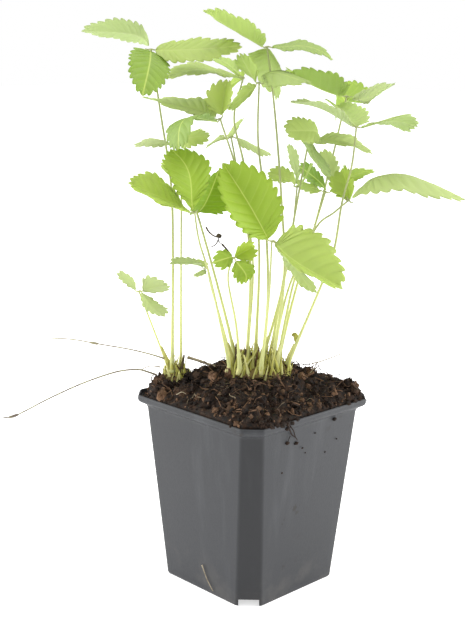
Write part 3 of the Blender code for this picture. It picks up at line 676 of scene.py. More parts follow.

# %% [markdown]
# ## The plant's plan
# Each leaf is set out by a few numbers: the crown and points its stalk runs through, the hub where its
# leaflets meet, and for each leaflet its tip, width, roll about the midrib, fold, arch and fullness.
# Lengths are in millimetres and angles in degrees. The last two numbers of a leaflet are its tone and
# its wash: the tone sets how bright its green is, partly the leaflet's own colour and partly painted
# light and shade for how lit it is, and the wash is painted light, a pale cast where light comes through
# it.
# The leaflet rows were fitted by another program and pasted in. They weren't chosen by hand or worked out
# from a rule, so they are data more than a design.

# %% Plan of the leaves
LEAVES = {
    "a": {
        "hub": (-37, -36, 269),
        "stalk": ("crown_side", (-29, -29, 111.3), (-32, -26, 166), (-37, -23, 203), (-44, -24, 239)),
        "leaflets": (
            ((-63.3, -56.8, 277.1), 13.6, 68, 14, 12.3, 0.31, -35, 0.64, 0.57, 0.64, 0.81),
            ((-17.1, -57.9, 249.0), 19.6, -24, -1, 3.2, 0.47, 1, 0.37, 0.38, 0.17, 0.23),
            ((-1.2, -10.9, 271.0), 21, 30, -4, -0.7, 0.39, 2, 0.44, 0.42, 0.81, 0.51),
        ),
    },
    "b": {
        "hub": (-7, -18, 237),
        "stalk": ("crown_main", (5, -9, 118.3), (1, -4, 168), (-9, -3, 207)),
        "leaflets": (
            ((-6.1, -15.1, 255.1), 18.2, 53, 46, 1.2, 0.3, 3, 0.5, 0.86, 1.21, 0.5),
            ((-40.7, -37.3, 246.0), 24, -27, 3, 2, 0.31, 33, 0.76, 0.46, 1.3, 0.82),
            ((-3.8, -47.5, 224.1), 18.1, 22, -6, 9.8, 0.58, -12, 0.77, 1.49, 0.07, 0.35),
        ),
    },
    "c": {
        "hub": (-4, -37, 194),
        "stalk": ("crown_main", (1, -17, 118.3), (-5, -25, 159), (-4, -34, 180)),
        "leaflets": (
            ((-23.5, -61.2, 207.5), 28, -28, 13, 0.4, 0.43, 14, 1.16, 1.37, 1.26, 0.4),
            ((-15.1, -42.0, 222.8), 23.4, -37, 4, 7.9, 0.6, 2, 1, 0.79, 0.47, 0.13),
            ((-17.5, -8.4, 211.0), 23.4, -1, -36, -3.3, 0.34, 4, 0.53, 0.75, 0.21, 0),
        ),
    },
    "d": {
        "hub": (-31, -25, 223),
        "stalk": ("crown_main", (-4, -8, 118.3), (-9, -11, 139), (-20, -17, 181)),
        "leaflets": (
            ((-46.8, -37.9, 223.2), 13.1, -15, -8, 2.1, 0.41, 2, 0.63, 1.1, 0.76, 1.0),
            ((-15.5, -17.2, 228.5), 11.1, 41, -18, 2.1, 0.38, 4, 0.64, 0.4, 1.03, 0.63),
            ((-45, -2, 228), 16, -20, 0, 0, 0.5, 0, 1, 1, 0.8, 0.3),
        ),
    },
    "e": {
        "hub": (28, -17, 182),
        "stalk": ("crown_main", (15, -9, 118.3), (22, -12, 152)),
        "leaflets": (
            ((13.5, -35.3, 217.9), 29.7, -80, 33, 3.3, 0.5, 4, 0.66, 0.53, 0.46, 0.12),
            ((50.5, 7.9, 160.0), 39, 30, 24, -2.3, 0.36, -5, 0.41, 0.52, 0.83, 0.45),
            ((32.0, 8.1, 154.8), 16.7, -168, -2, -0.5, 0.61, -12, 1.44, 0.97, 0.51, 0.69),
        ),
    },
    "f": {
        "hub": (8, -23, 172),
        "stalk": ("crown_main", (7, -16, 118.3), (7, -19, 138), (5, -23, 161)),
        "leaflets": (
            ((6.6, -34.6, 170.9), 9.6, -69, 22, 6.3, 0.45, -3, 1.62, 1.68, 0.37, 0.12),
            ((8.9, -9.3, 176.4), 12.7, 68, 45, -1.9, 0.35, 9, 0.44, 0.42, 1.03, 0.26),
            ((16.2, -22.0, 161.3), 11.3, 72, -3, -4.6, 0.63, 2, 0.61, 0.6, 0.42, 0.13),
        ),
    },
    "g": {
        "hub": (-60, -25, 145), "girth": 0.6,
        "stalk": ("crown_side", (-35, -26, 111.3), (-47, -26, 127)),
        "leaflets": (
            ((-68.6, -30.7, 155.4), 9.6, -9, -14, 0.7, 0.48, -1, 0.86, 0.59, 1.18, 1.0),
            ((-56.1, -9.0, 147.1), 16.2, 30, 13, 0.3, 0.54, -14, 0.6, 0.71, 1.3, 1.0),
            ((-43.2, -22.1, 134.4), 11.4, -4, 1, -1.5, 0.54, 17, 1.06, 0.64, 1.3, 1.0),
        ),
    },
    "h": {
        "hub": (3, 3, 271),
        "stalk": ("crown_main", (15, -1, 118.3), (16, 5, 159), (12, 6, 198), (8, 4, 241)),
        "leaflets": (
            ((-11.8, -24.2, 287.2), 22.4, 10, 16, -0.5, 0.62, 0, 0.39, 0.78, 0.94, 0.44),
            ((23.1, 27.0, 265.9), 16.7, 16, -2, 3.5, 0.6, 3, 0.77, 0.51, 0.19, 0.44),
            ((-10.5, 22.7, 247.6), 24.2, 19, -25, 0.7, 0.56, 31, 0.38, 0.41, 1.04, 0.61),
        ),
    },
    "i": {
        "hub": (2, -1, 254),
        "stalk": ("crown_main", (10, -3, 118.3), (9, 1, 153), (4, 2, 198), (2, -1, 227)),
        "leaflets": (
            ((-11.3, -8.0, 241.7), 15.6, -38, 4, -0.8, 0.34, 15, 1.09, 0.53, 0.74, 0.52),
            ((27.8, 3.0, 255.2), 26.3, 21, -17, 5.2, 0.29, -20, 0.92, 1.01, 0.33, 0.56),
            ((-2, -10, 267), 18, 10, 0, 0, 0.5, 0, 1, 1, 0.9, 0.35),
        ),
    },
    "s": {
        "hub": (-17, 7, 256),
        "stalk": ("crown_main", (3, -1, 118.3), (-4, 7, 176), (-15, 6, 215), (-21, 5, 236)),
        "leaflets": (
            ((-29.8, -30.7, 256.1), 21, -19, -1, 4.2, 0.61, 9, 0.95, 0.95, 1.3, 0.73),
            ((-34.7, 5.5, 264.7), 13, -181, -13, -1.1, 0.63, -4, 1.1, 1.1, 0.78, 0.39),
            ((-45, 21, 250), 18, -45, 0, 0, 0.5, 0, 1, 1, 0.6, 0.25),
        ),
    },
    "j": {
        "hub": (37, 31, 234),
        "stalk": ("crown_main", (17, 8, 118.3), (31, 17, 159), (36, 19, 176), (38, 21, 198),
            (40, 25, 216)),
        "leaflets": (
            ((21.7, 1.0, 245.4), 18.9, 2, 12, 2.6, 0.56, -3, 0.67, 0.91, 0.64, 1.0),
            ((10.6, 45.5, 243.0), 21.3, 196, -28, -1, 0.69, -13, 0.35, 0.99, 0.98, 0.54),
            ((54.4, 55.4, 234.0), 26.5, 0, -2, 3.2, 0.57, -22, 1.13, 0.87, 0.5, 0.65),
        ),
    },
    "k": {
        "hub": (9, 56, 247),
        "stalk": ("crown_main", (5, 14, 118.3), (3, 28, 149), (0, 42, 173), (-2, 57, 208)),
        "leaflets": (
            ((-0.2, 22.4, 259.0), 30, 5, 22, -1.3, 0.46, -2, 0.5, 0.61, 0.5, 0.26),
            ((31.4, 65.4, 253.3), 24, 41, 2, -3.8, 0.33, -37, 0.73, 1.52, 0.1, 0.82),
            ((-17.0, 77.6, 250.8), 28.6, -21, -33, -4.9, 0.3, -42, 1.6, 0.61, 0.37, 0.16),
        ),
    },
    "m": {
        "hub": (9, 28, 226),
        "stalk": ("crown_main", (8, 4, 118.3), (9, 12, 157), (11, 18, 194)),
        "leaflets": (
            ((18.0, 1.5, 231.9), 13.5, -71, 3, 8.8, 0.32, 12, 1.02, 1.31, 0.76, 0.6),
            ((29.0, 53.2, 219.3), 17.9, 21, 4, 3.5, 0.5, -8, 0.87, 0.38, 0.9, 0.79),
            ((27.7, 18.7, 211.6), 18.6, 150, -13, 1.6, 0.48, -15, 0.46, 0.98, 0.18, 0.65),
        ),
    },
    "n": {
        "hub": (33, 32, 198),
        "stalk": ("crown_main", (17, 0, 118.3), (17, 11, 157), (24, 18, 184), (29, 26, 192)),
        "leaflets": (
            ((81.4, 58.5, 201.5), 32.1, 16, -15, 13.2, 0.4, -18, 2.08, 0.58, 0.72, 0.82),
            ((22.1, 39.1, 211.9), 17.1, -39, 39, -4.6, 0.3, -19, 0.56, 0.74, 0.82, 0.38),
            ((4.1, 46.1, 219.8), 9.5, 0, 0, -4, 0.4, 0, 1.7, 1.7, 1.11, 0.84),
        ),
    },
    "o": {
        "hub": (9, 42, 199),
        "stalk": ("crown_main", (5, 9, 118.3), (7, 18, 151), (8, 33, 177)),
        "leaflets": (
            ((-11.5, 44.6, 210.3), 12, -106, -4, -2.2, 0.31, -3, 1.24, 0.8, -0.25, 0.16),
            ((-8.1, 39.2, 203.7), 10.2, -32, -17, -0.3, 0.42, 33, 0.6, 1.57, 0.74, 0.66),
            ((22, 63, 210), 18, 5, 0, 2, 0.5, 0, 1, 1, 0.7, 0.3),
        ),
    },
    "r": {
        "hub": (2, 28, 202),
        "stalk": ("crown_main", (2, 5, 118.3), (3, 14, 140), (2, 24, 170)),
        "leaflets": (
            ((-2.7, 26.5, 223.0), 9.9, 56, -1, 1.9, 0.32, -4, 1.03, 1.19, 1.03, 0.78),
            ((-3.8, 12.8, 209.4), 11.1, -52, 12, 2.7, 0.36, 2, 1.95, 0.6, 1.28, 0.64),
            ((4, 37, 213), 9, -40, 0, 0, 0.5, 0, 1.2, 1.2, 0.8, 0.35),
        ),
    },
    "p": {
        "hub": (-26, 8, 226), "girth": 0.65,
        "stalk": ("crown_main", (-2, -2, 118.3), (-6, 5, 166), (-20, 8, 205)),
        "leaflets": (
            ((-19.0, 29.8, 217.0), 13.4, 25, -21, 0.5, 0.3, -5, 1.41, 0.36, 1.24, 1.0),
            ((-38, 24, 232), 12, -45, 0, 0, 0.5, 0, 1, 1, 1, 0.8),
            ((-39, 4, 221), 12, -20, 0, 1, 0.5, 0, 1, 1, 1, 0.9),
        ),
    },
    "q": {
        "hub": (-13, -20, 164), "girth": 0.6,
        "stalk": ("crown_main", (-1, -13, 118.3), (-6, -17, 138), (-11, -19, 154)),
        "leaflets": (
            ((-21.9, -36.5, 166.6), 11.9, 4, 15, 1.4, 0.33, -21, 0.5, 0.47, 0.82, 1.0),
            ((-29, -15, 165), 10, 5, 0, 0, 0.5, 0, 1, 1, 0.9, 0.6),
            ((-13, -27, 160), 10, 10, 0, 0, 0.5, 0, 1, 1, 1, 0.9),
        ),
    },
    "t": {
        "hub": (-47, -7, 204), "girth": 0.65,
        "stalk": ("crown_side", (-29, -23, 111.3), (-37, -16, 164)),
        "leaflets": (
            ((-51, -17, 211), 14, -25, 0, 0, 0.5, 0, 1, 1, 1, 0.5),
            ((-36, -4, 210), 14, 30, 0, 0, 0.5, 0, 1, 1, 0, 0.05),
            ((-60, 6, 212), 14, -60, 0, 0, 0.5, 0, 1, 1, 0.2, 0.05),
        ),
    },
}
print("leaves:", len(LEAVES), "leaflets:", sum(len(v["leaflets"]) for v in LEAVES.values()))

# %% [markdown]
# ## Stems, sheaths and hairs
# A strawberry's leaf stalk is a slender round stem, thicker at its foot, pale near the crown and covered
# with fine white hairs. All the stalks and runners share one tree: it turns a line of points into a curve,
# sweeps a circle along it with a tapering radius, and sets tiny cones on the skin for hairs.

# %% Stem finish
def stem(name, pale, green, tint_from, tint_to):
    mat = new_material(name)
    t = mat.node_tree
    place = add(t, "ShaderNodeSeparateXYZ", None, {0: add(t, "ShaderNodeTexCoord").outputs["Object"]})
    high = step(t, place.outputs[2], tint_from, tint_to)
    body = blend(t, high, pale, green)
    streak = step(t, grain(t, 260.0, 3.0, (1.0, 1.0, 0.08)), 0.35, 0.65)
    body = blend(t, calc(t, "MULTIPLY", streak, 0.3), body, rgb(218, 222, 160))
    rough = calc(t, "MULTIPLY_ADD", streak, 0.12, 0.42)
    shader = dress(mat, body, rough, relief(t, grain(t, 900.0, 2.0, (1.0, 1.0, 0.1)), 0.2, 0.0003), 0.4)
    glow = add(t, "ShaderNodeBsdfTranslucent", None, {"Color": body})
    both = add(t, "ShaderNodeMixShader", None, {0: 0.35, 1: shader.outputs[0], 2: glow.outputs[0]})
    t.links.new(both.outputs[0], t.nodes["Material Output"].inputs["Surface"])
    return mat


STALK_MAT = stem("stalk_skin", rgb(216, 220, 152), rgb(166, 174, 120), 0.12, 0.205)
RUNNER_MAT = stem("runner_skin", rgb(120, 108, 96), rgb(150, 138, 120), 0.10, 0.125)
print("stem finishes: stalk_skin, runner_skin")

# %% Stem tree
def stem_tree():
    tree, given = new_tree("round_stem", [
        ("Foot radius", "Float"), ("Top radius", "Float"), ("Swell", "Float"), ("Sides", "Int"),
        ("Hair length", "Float"), ("Hairs per square metre", "Float"), ("Seed", "Int"),
            ("Material", "Material")])
    line = add(tree, "GeometryNodeMeshToCurve", None, {"Mesh": given["Geometry"]})
    along = add(tree, "GeometryNodeSplineParameter").outputs["Factor"]
    left = calc(tree, "SUBTRACT", 1.0, along)
    taper = calc(tree, "MULTIPLY", calc(tree, "SUBTRACT", given["Foot radius"], given["Top radius"]), left)
    foot = calc(tree, "MULTIPLY", calc(tree, "POWER", left, 14.0), given["Swell"])
    radius = calc(tree, "ADD", calc(tree, "ADD", taper, given["Top radius"]), foot)
    sized = add(tree, "GeometryNodeSetCurveRadius", None, {"Curve": line.outputs[0], "Radius": radius})
    ring = add(tree, "GeometryNodeCurvePrimitiveCircle", None,
        {"Resolution": given["Sides"], "Radius": 1.0})
    skin = add(tree, "GeometryNodeCurveToMesh", None, {
        "Curve": sized.outputs[0], "Profile Curve": ring.outputs[0], "Fill Caps": True})
    if "Scale" in skin.inputs:
        tree.links.new(radius, skin.inputs["Scale"])
    smooth = add(tree, "GeometryNodeSetShadeSmooth", None, {"Geometry": skin.outputs[0]})
    spots = add(tree, "GeometryNodeDistributePointsOnFaces", None, {
        "Mesh": smooth.outputs[0], "Density": given["Hairs per square metre"], "Seed": given["Seed"]})
    hair = add(tree, "GeometryNodeMeshCone", None, {
        "Vertices": 3, "Radius Top": 0.000008, "Radius Bottom": 0.00003, "Depth": given["Hair length"]})
    put = add(tree, "GeometryNodeInstanceOnPoints", None, {
        "Points": spots.outputs["Points"], "Instance": hair.outputs["Mesh"],
            "Rotation": spots.outputs["Rotation"],
        "Scale": random_float(tree, 0.5, 1.2, given["Seed"])})
    both = add(tree, "GeometryNodeJoinGeometry")
    tree.links.new(put.outputs[0], both.inputs[0])
    tree.links.new(smooth.outputs[0], both.inputs[0])
    finish_tree(tree, both.outputs[0], given["Material"])
    return tree


STEM = stem_tree()


def spline(points, step_mm):
    # a smooth curve through the points, sampled about every step_mm
    pts = [Vector(q) for q in points]
    ext = [pts[0] * 2 - pts[1]] + pts + [pts[-1] * 2 - pts[-2]]
    out = []
    for i in range(1, len(ext) - 2):
        p0, p1, p2, p3 = ext[i - 1], ext[i], ext[i + 1], ext[i + 2]
        n = max(1, int(round((p2 - p1).length / step_mm)))
        for j in range(n):
            t = j / n
            b = (p2 - p0) * t + (p0 * 2 - p1 * 5 + p2 * 4 - p3) * t * t + (
                p1 * 3 - p0 - p2 * 3 + p3) * t ** 3
            out.append((p1 * 2 + b) * 0.5)
    return out + [pts[-1]]


def round_stem(name, path, foot, top, swell, sides, hair, density, seed, mat):
    mesh = bpy.data.meshes.new(name)
    mesh.from_pydata([tuple(q * MM) for q in path], [(i, i + 1) for i in range(len(path) - 1)], [])
    ob = bpy.data.objects.new(name, mesh)
    scene.collection.objects.link(ob)
    return grow(ob, STEM, {
        "Foot radius": foot * MM, "Top radius": top * MM, "Swell": swell * MM, "Sides": sides,
        "Hair length": hair * MM, "Hairs per square metre": float(density), "Seed": seed, "Material": mat})


print("stem tree nodes:", len(STEM.nodes))

# %% Stalks
STALK_ENDS = {}
for index, (key, leaf) in enumerate(LEAVES.items()):
    points = [Vector(q) for q in leaf["stalk"][1:]]
    points[0].z -= 3.0
    path = spline(points + [Vector(leaf["hub"])], 2.5)
    STALK_ENDS[key] = (path[-1] - path[-2]).normalized()
    coarse = spline([Vector(q) for q in leaf["stalk"][1:]] + [Vector(leaf["hub"])], 15.0)
    STALK_ENDS[key] = (coarse[-1] - coarse[-2]).normalized()
    piece = round_stem("stalk_%s_stem" % key, path, leaf.get("girth", 0.78), 0.42, 0.55, 10, 0.7, 900000,
        index, STALK_MAT)
    hand_over(piece, "stalk_green", "stalk_" + key)
print("stalks:", len(STALK_ENDS))

# %% [markdown]
# ## Leaf finish
# The upper face of a leaflet is a fresh yellow-green, lighter along the midrib and the side veins, with a
# faint net between them, while the underside is paler and duller. Thin leaves also let light through. The
# mesh carries, for every point, where it lies between two side veins, how far it is from the midrib, and
# the tone of its leaflet, so the veins in the colour lie exactly on the veins in the shape.

# %% Leaf greens
VEIN_AT = 0.62


def leaf_green(name, deep, bright, vein, wash, rough_at, glow_share):
    mat = new_material(name)
    t = mat.node_tree
    own = carried(t, "tone")
    # the tone is partly the leaflet's own green and partly painted light and shade: lit leaflets get a
    # brighter green, shaded ones a deeper one
    body = blend(t, own, deep, bright)
    patches = step(t, grain(t, 130.0, 3.0), 0.35, 0.65)
    body = blend(t, calc(t, "MULTIPLY", patches, 0.16), body, rgb(128, 160, 30))
    net = add(t, "ShaderNodeTexVoronoi", {"feature": "DISTANCE_TO_EDGE"}, {
        "Vector": add(t, "ShaderNodeTexCoord").outputs["Object"], "Scale": 1100.0}).outputs["Distance"]
    mesh_line = step(t, net, 0.10, 0.0)
    phase = carried(t, "phase")
    off = calc(t, "ABSOLUTE", calc(t, "SUBTRACT", calc(t, "FRACT", phase), VEIN_AT))
    side_vein = step(t, off, 0.10, 0.02)
    across = carried(t, "across")
    side_vein = calc(t, "MULTIPLY", side_vein, step(t, carried(t, "margin"), 1.0, 0.75))
    mid = step(t, across, 0.00055, 0.00022)
    lines = calc(t, "MAXIMUM", calc(t, "MULTIPLY", side_vein, 0.20), calc(t, "MULTIPLY", mid, 0.8))
    lines = calc(t, "MAXIMUM", lines, calc(t, "MULTIPLY", mesh_line, 0.08))
    body = blend(t, lines, body, vein)
    # painted light: a pale wash over the leaflet for light coming through it
    body = blend(t, carried(t, "wash"), body, wash)
    rough = calc(t, "MULTIPLY_ADD", mesh_line, 0.1, rough_at)
    height = calc(t, "SUBTRACT", grain(t, 700.0, 3.0), calc(t, "MULTIPLY", mesh_line, 0.6))
    shader = dress(mat, body, rough, relief(t, height, 0.18, 0.0002), 0.3)
    glow = add(t, "ShaderNodeBsdfTranslucent", None, {"Color": blend(t, 0.4, body, rgb(190, 212, 50))})
    both = add(t, "ShaderNodeMixShader", None, {0: glow_share, 1: shader.outputs[0], 2: glow.outputs[0]})
    t.links.new(both.outputs[0], t.nodes["Material Output"].inputs["Surface"])
    return mat


LEAF_TOP = leaf_green("leaf_upper", rgb(108, 148, 14), rgb(190, 212, 46), rgb(206, 218, 110),
                      rgb(190, 200, 150), 0.46, 0.4)
LEAF_UNDER = leaf_green("leaf_under", rgb(118, 156, 48), rgb(186, 208, 92), rgb(202, 216, 136),
                        rgb(192, 204, 160), 0.62, 0.4)
print("leaf finishes: upper face and underside")

# %% [markdown]
# ## Leaflets
# A strawberry leaflet is a wedge at its base and round at its tip, with coarse forward-pointing teeth, and
# one side vein runs out to each tooth. Its outline is drawn flat first: a smooth edge, then teeth spaced
# evenly along it. Points between midrib and edge lie on lines that follow the side veins, so the blade can
# puff up between them. The flat leaflet is then bent in space by its plan, and given a thickness.

# %% Leaflet shape
HUB_RADIUS = 1.3
TOOTH_STEPS = (0.0, 0.14, 0.3, 0.46, 0.62, 0.8)
ACROSS = (0.05, 0.14, 0.27, 0.42, 0.57, 0.72, 0.86, 1.0)


def blade_profile(u, full):
    peak = full / (full + 0.55)
    u = np.clip(u, 1e-6, 1.0 - 1e-9)
    return (u / peak) ** full * ((1.0 - u) / (1.0 - peak)) ** 0.55


def tooth(phase):
    f = phase % 1.0
    if f < VEIN_AT:
        return math.sin(0.5 * math.pi * f / VEIN_AT) ** 0.9
    return math.cos(0.5 * math.pi * (f - VEIN_AT) / (1.0 - VEIN_AT)) ** 0.8


def flat_edge(length, width, full, teeth):
    # one side of the outline: smooth points, toothed points and the tooth phase at each
    k = np.linspace(0.0, 1.0, 500)
    neck = min(0.3, 1.3 / length)
    xs = length * (neck + (1.0 - neck) * k)
    ys = np.maximum(width / 2 * blade_profile(k, full), 0.5 * (1.0 - k) ** 0.5)
    arc = np.concatenate(([0.0], np.cumsum(np.hypot(np.diff(xs), np.diff(ys)))))
    begin = 0.16 * arc[-1]
    pitch = (arc[-1] - begin) / (teeth + VEIN_AT)
    depth = 0.42 * pitch
    stops = [(begin * i / 5.0, -1.0 + i / 5.0) for i in range(5)]
    for n in range(teeth + 1):
        for f in TOOTH_STEPS:
            if n + f < teeth + VEIN_AT - 1e-6:
                stops.append((begin + pitch * (n + f), n + f))
    stops.append((arc[-1], teeth + VEIN_AT))
    rows = []
    for s, phase in stops:
        x, y = np.interp(s, arc, xs), np.interp(s, arc, ys)
        x0, y0 = np.interp(s - 0.6, arc, xs), np.interp(s - 0.6, arc, ys)
        x1, y1 = np.interp(s + 0.6, arc, xs), np.interp(s + 0.6, arc, ys)
        tx, ty = x1 - x0, y1 - y0
        size = math.hypot(tx, ty)
        tx, ty = tx / size, ty / size
        bite = tooth(phase) if phase >= 0 else 0.0
        grow_in = min(1.0, max(0.0, phase + 0.4))
        out = depth * (bite - 0.5) * grow_in
        ahead = 0.55 * depth * bite * grow_in
        rows.append(((x, y), (x - ty * out + tx * ahead, max(0.0, y + tx * out + ty * ahead)), phase))
    tip = length + depth * 0.5
    rows[-1] = ((length, 0.0), (tip, 0.0), rows[-1][2])
    return rows


def leaf_sheet(hub, radial, spec, seed):
    # the leaflet as an open sheet of points, with what each point carries
    tip, width, roll, fold, arch, place, twist, full_l, full_r = spec[:9]
    start = hub + radial * HUB_RADIUS
    chord = Vector(tip) - start
    length = chord.length
    t = chord.normalized()
    level = Vector((t.x, t.y, 0)).normalized()
    s0 = Vector((-level.y, level.x, 0))
    n0 = t.cross(s0)
    a0 = math.radians(roll)
    lift = n0 * math.cos(a0) - s0 * math.sin(a0)
    power = math.log(0.5) / math.log(place)
    teeth = int(min(9, max(4, round(length / 3.6))))
    f = math.radians(fold)
    puff = 0.022 * width
    cup = 0.05 + 0.08 * noise.noise(Vector((seed * 3.1, 1.7, 0.2)))
    wave = 0.25 + 0.012 * width

    def place_point(x, y, phase, v):
        u = x / length
        a = math.radians(roll + twist * u)
        s = s0 * math.cos(a) + n0 * math.sin(a)
        n = t.cross(s)
        c = start + t * x + lift * (arch * math.sin(math.pi * min(1.0, max(0.0, u)) ** power))
        d = abs(y)
        bend = math.sqrt(d * d + 0.49) - 0.7
        gap = abs((phase % 1.0) - VEIN_AT)
        gap = min(gap, 1.0 - gap)
        rise = puff * (1.0 - math.exp(-(gap / 0.17) ** 2)) * math.sin(math.pi * min(1.0, v * 1.05)) ** 0.8
        rise += cup * d * v + wave * v * v * math.sin(1.7 * phase + seed)
        rise -= 0.25 * math.exp(-(d / 0.7) ** 2) * (1.0 - u)
        return c + s * (y * math.cos(f)) + n * (bend * math.sin(f) + rise * math.cos(f))

    left = flat_edge(length, width, full_l, teeth)
    rite = flat_edge(length, width, full_r, teeth)
    points, data, grid = [], [], []
    for row in range(len(left)):
        line = []
        smooth = [rite[row][0], left[row][0]]
        mid_x = []
        for x, y in smooth:
            lag = 0.72 * y * min(1.0, x / (0.4 * length))
            mid_x.append(x - lag)
        xm = min(length, max(0.0, 0.5 * (mid_x[0] + mid_x[1])))
        if grid:
            xm = max(xm, data[grid[-1][len(ACROSS)]][4] + 0.02)
        cells = [(-1, v) for v in reversed(ACROSS)] + [(0, 0.0)] + [(1, v) for v in ACROSS]
        if row == len(left) - 1:
            cells = [(0, 0.0)]
            xm = left[-1][1][0]
        for sign, v in cells:
            plain, cut, phase = (left if sign > 0 else rite)[row]
            w = min(1.0, max(0.0, (v - 0.55) / 0.45))
            w = w * w * (3.0 - 2.0 * w)
            ex = plain[0] + (cut[0] - plain[0]) * w
            ey = plain[1] + (cut[1] - plain[1]) * w
            x = xm + (ex - xm) * v ** 1.12
            y = sign * ey * v
            line.append(len(points))
            points.append(place_point(x, y, phase, v))
            data.append((phase, abs(y) * MM, v, x / length, xm))
        grid.append(line)
    faces = []
    for lower, upper in zip(grid, grid[1:]):
        for i in range(len(lower) - 1):
            if len(upper) == 1:
                faces.append((lower[i], lower[i + 1], upper[0]))
            else:
                faces.append((lower[i], lower[i + 1], upper[i + 1], upper[i]))
    return points, faces, data, t


print("teeth on a 30 mm leaflet:", int(round(30 / 3.6)))

# %% Leaves
def thicken(points, faces, data, stem_dir):
    # gives the sheet a thickness, with a raised midrib and side veins on the underside
    normals = [Vector() for _ in points]
    for face in faces:
        q = [points[i] for i in face]
        n = (q[2] - q[0]).cross(q[1] - q[0]) if len(q) == 3 else (q[2] - q[0]).cross(q[1] - q[3]) * -1.0
        for i in face:
            normals[i] += n
    if sum(n.dot(stem_dir) for n in normals) < 0:
        normals = [-n for n in normals]
    top, low = [], []
    for q, n, (phase, across, v, u, _) in zip(points, normals, data):
        n = n.normalized()
        gap = abs((phase % 1.0) - VEIN_AT)
        gap = min(gap, 1.0 - gap)
        rib = 0.42 * math.exp(-(across / MM / 0.4) ** 2) * max(0.0, 1.0 - u) ** 0.6
        rib += 0.09 * math.exp(-(gap / 0.12) ** 2) * math.sin(math.pi * min(1.0, v)) ** 0.5
        edge = 0.6 if v > 0.99 else 1.0
        top.append(q + n * 0.11 * edge)
        low.append(q - n * (0.11 * edge + rib))
    return top, low


def border(faces):
    count = {}
    for face in faces:
        for i, j in zip(face, face[1:] + face[:1]):
            count[(i, j)] = count.get((i, j), 0) + 1
    return [(i, j) for (i, j) in count if (j, i) not in count]


def tube(path, radii, sides=8):
    loops = []
    ref = Vector((1, 0.2, 0.1))
    for i, q in enumerate(path):
        d = (path[min(i + 1, len(path) - 1)] - path[max(0, i - 1)]).normalized()
        ref = (ref - d * ref.dot(d)).normalized()
        other = d.cross(ref)
        loops.append([q + (ref * math.cos(2 * math.pi * k / sides)
            + other * math.sin(2 * math.pi * k / sides)) * radii[i]
                      for k in range(sides)])
    return loft(loops)


def spread_angles(hub, up, tips):
    # the directions in which the leaflets leave the hub, kept at least 80 degrees apart
    ref = Vector((1, 0, 0)) if abs(up.x) < 0.8 else Vector((0, 1, 0))
    e1 = (ref - up * ref.dot(up)).normalized()
    e2 = up.cross(e1)
    angles = [math.atan2((Vector(q) - hub).dot(e2), (Vector(q) - hub).dot(e1)) for q in tips]
    order = sorted(range(3), key=lambda i: angles[i])
    least = math.radians(80)
    for _ in range(60):
        for k in range(3):
            i, j = order[k], order[(k + 1) % 3]
            gap = (angles[j] - angles[i]) % (2 * math.pi)
            if gap < least:
                angles[i] -= (least - gap) * 0.5
                angles[j] += (least - gap) * 0.5
    return [e1 * math.cos(w) + e2 * math.sin(w) for w in angles]


def build_leaf(key, leaf, number):
    hub, up = Vector(leaf["hub"]), STALK_ENDS[key]
    verts, faces, kinds, carried_values = [], [], [], []

    def take(part_verts, part_faces, kind, values):
        base = len(verts)
        verts.extend(part_verts)
        faces.extend(tuple(base + i for i in face) for face in part_faces)
        kinds.extend([kind] * len(part_faces))
        carried_values.extend(values)

    radials = spread_angles(hub, up, [spec[0] for spec in leaf["leaflets"]])
    for i, (spec, radial) in enumerate(zip(leaf["leaflets"], radials)):
        points, sheet, data, t = leaf_sheet(hub, radial, spec, number * 3 + i)
        roll = math.radians(spec[2])
        level = Vector((t.x, t.y, 0)).normalized()
        s0 = Vector((-level.y, level.x, 0))
        face_up = t.cross(s0) * math.cos(roll) - s0 * math.sin(roll)
        top, low = thicken(points, sheet, data, face_up)
        n = len(points)
        values = [(ph, ac, v, spec[9], spec[10]) for ph, ac, v, _, _ in data]
        base = len(verts)
        verts.extend(top + low)
        carried_values.extend(values + values)
        faces.extend(tuple(base + j for j in face) for face in sheet)
        kinds.extend([0] * len(sheet))
        faces.extend(tuple(base + n + j for j in reversed(face)) for face in sheet)
        kinds.extend([1] * len(sheet))
        rim = border(sheet)
        faces.extend((base + b, base + a, base + n + a, base + n + b) for a, b in rim)
        kinds.extend([0] * len(rim))
        start = hub + radial * HUB_RADIUS
        neck = [hub - up * 0.2, hub + radial * 0.7 + up * 0.1, start - face_up * 0.15,
            start + t * 1.6 - face_up * 0.3]
        path = spline(neck, 0.5)
        radii = [0.5 - 0.28 * j / (len(path) - 1) for j in range(len(path))]
        take(*tube(path, radii), 2, [(0.0, 0.0, 0.0, 0.5, 0.0)] * (8 * len(path)))
    knob_path = [hub - up * 0.7, hub - up * 0.45, hub, hub + up * 0.35, hub + up * 0.5]
    take(*tube(knob_path, (0.35, 0.58, 0.72, 0.55, 0.2)), 2, [(0.0, 0.0, 0.0, 0.5, 0.0)] * 40)
    piece = make_piece("leaf_%s_blade" % key, [q * MM for q in verts], faces,
        [LEAF_TOP, LEAF_UNDER, STALK_MAT],
                       True, kinds)
    for slot_number, label in enumerate(("phase", "across", "margin", "tone", "wash")):
        layer = piece.data.attributes.new(label, "FLOAT", "POINT")
        layer.data.foreach_set("value", [row[slot_number] for row in carried_values])
    return piece


leaf_faces = 0
for number, (key, leaf) in enumerate(LEAVES.items()):
    piece = build_leaf(key, leaf, number)
    hand_over(piece, "leaf_green", "leaf_" + key)
    leaf_faces += len(piece.data.polygons)
print("leaf faces:", leaf_faces)

# %% [markdown]
# ## Crowns
# The crown is the plant's short stem: a fist of old and new leaf bases, wrapped in papery sheaths and
# stubs of leaves that have died. The body is a lumpy knob in the peat. A tree sets a pointed scale on
# every point scattered over its side, leaning outwards, and sheaths wrap the foot of each stalk.

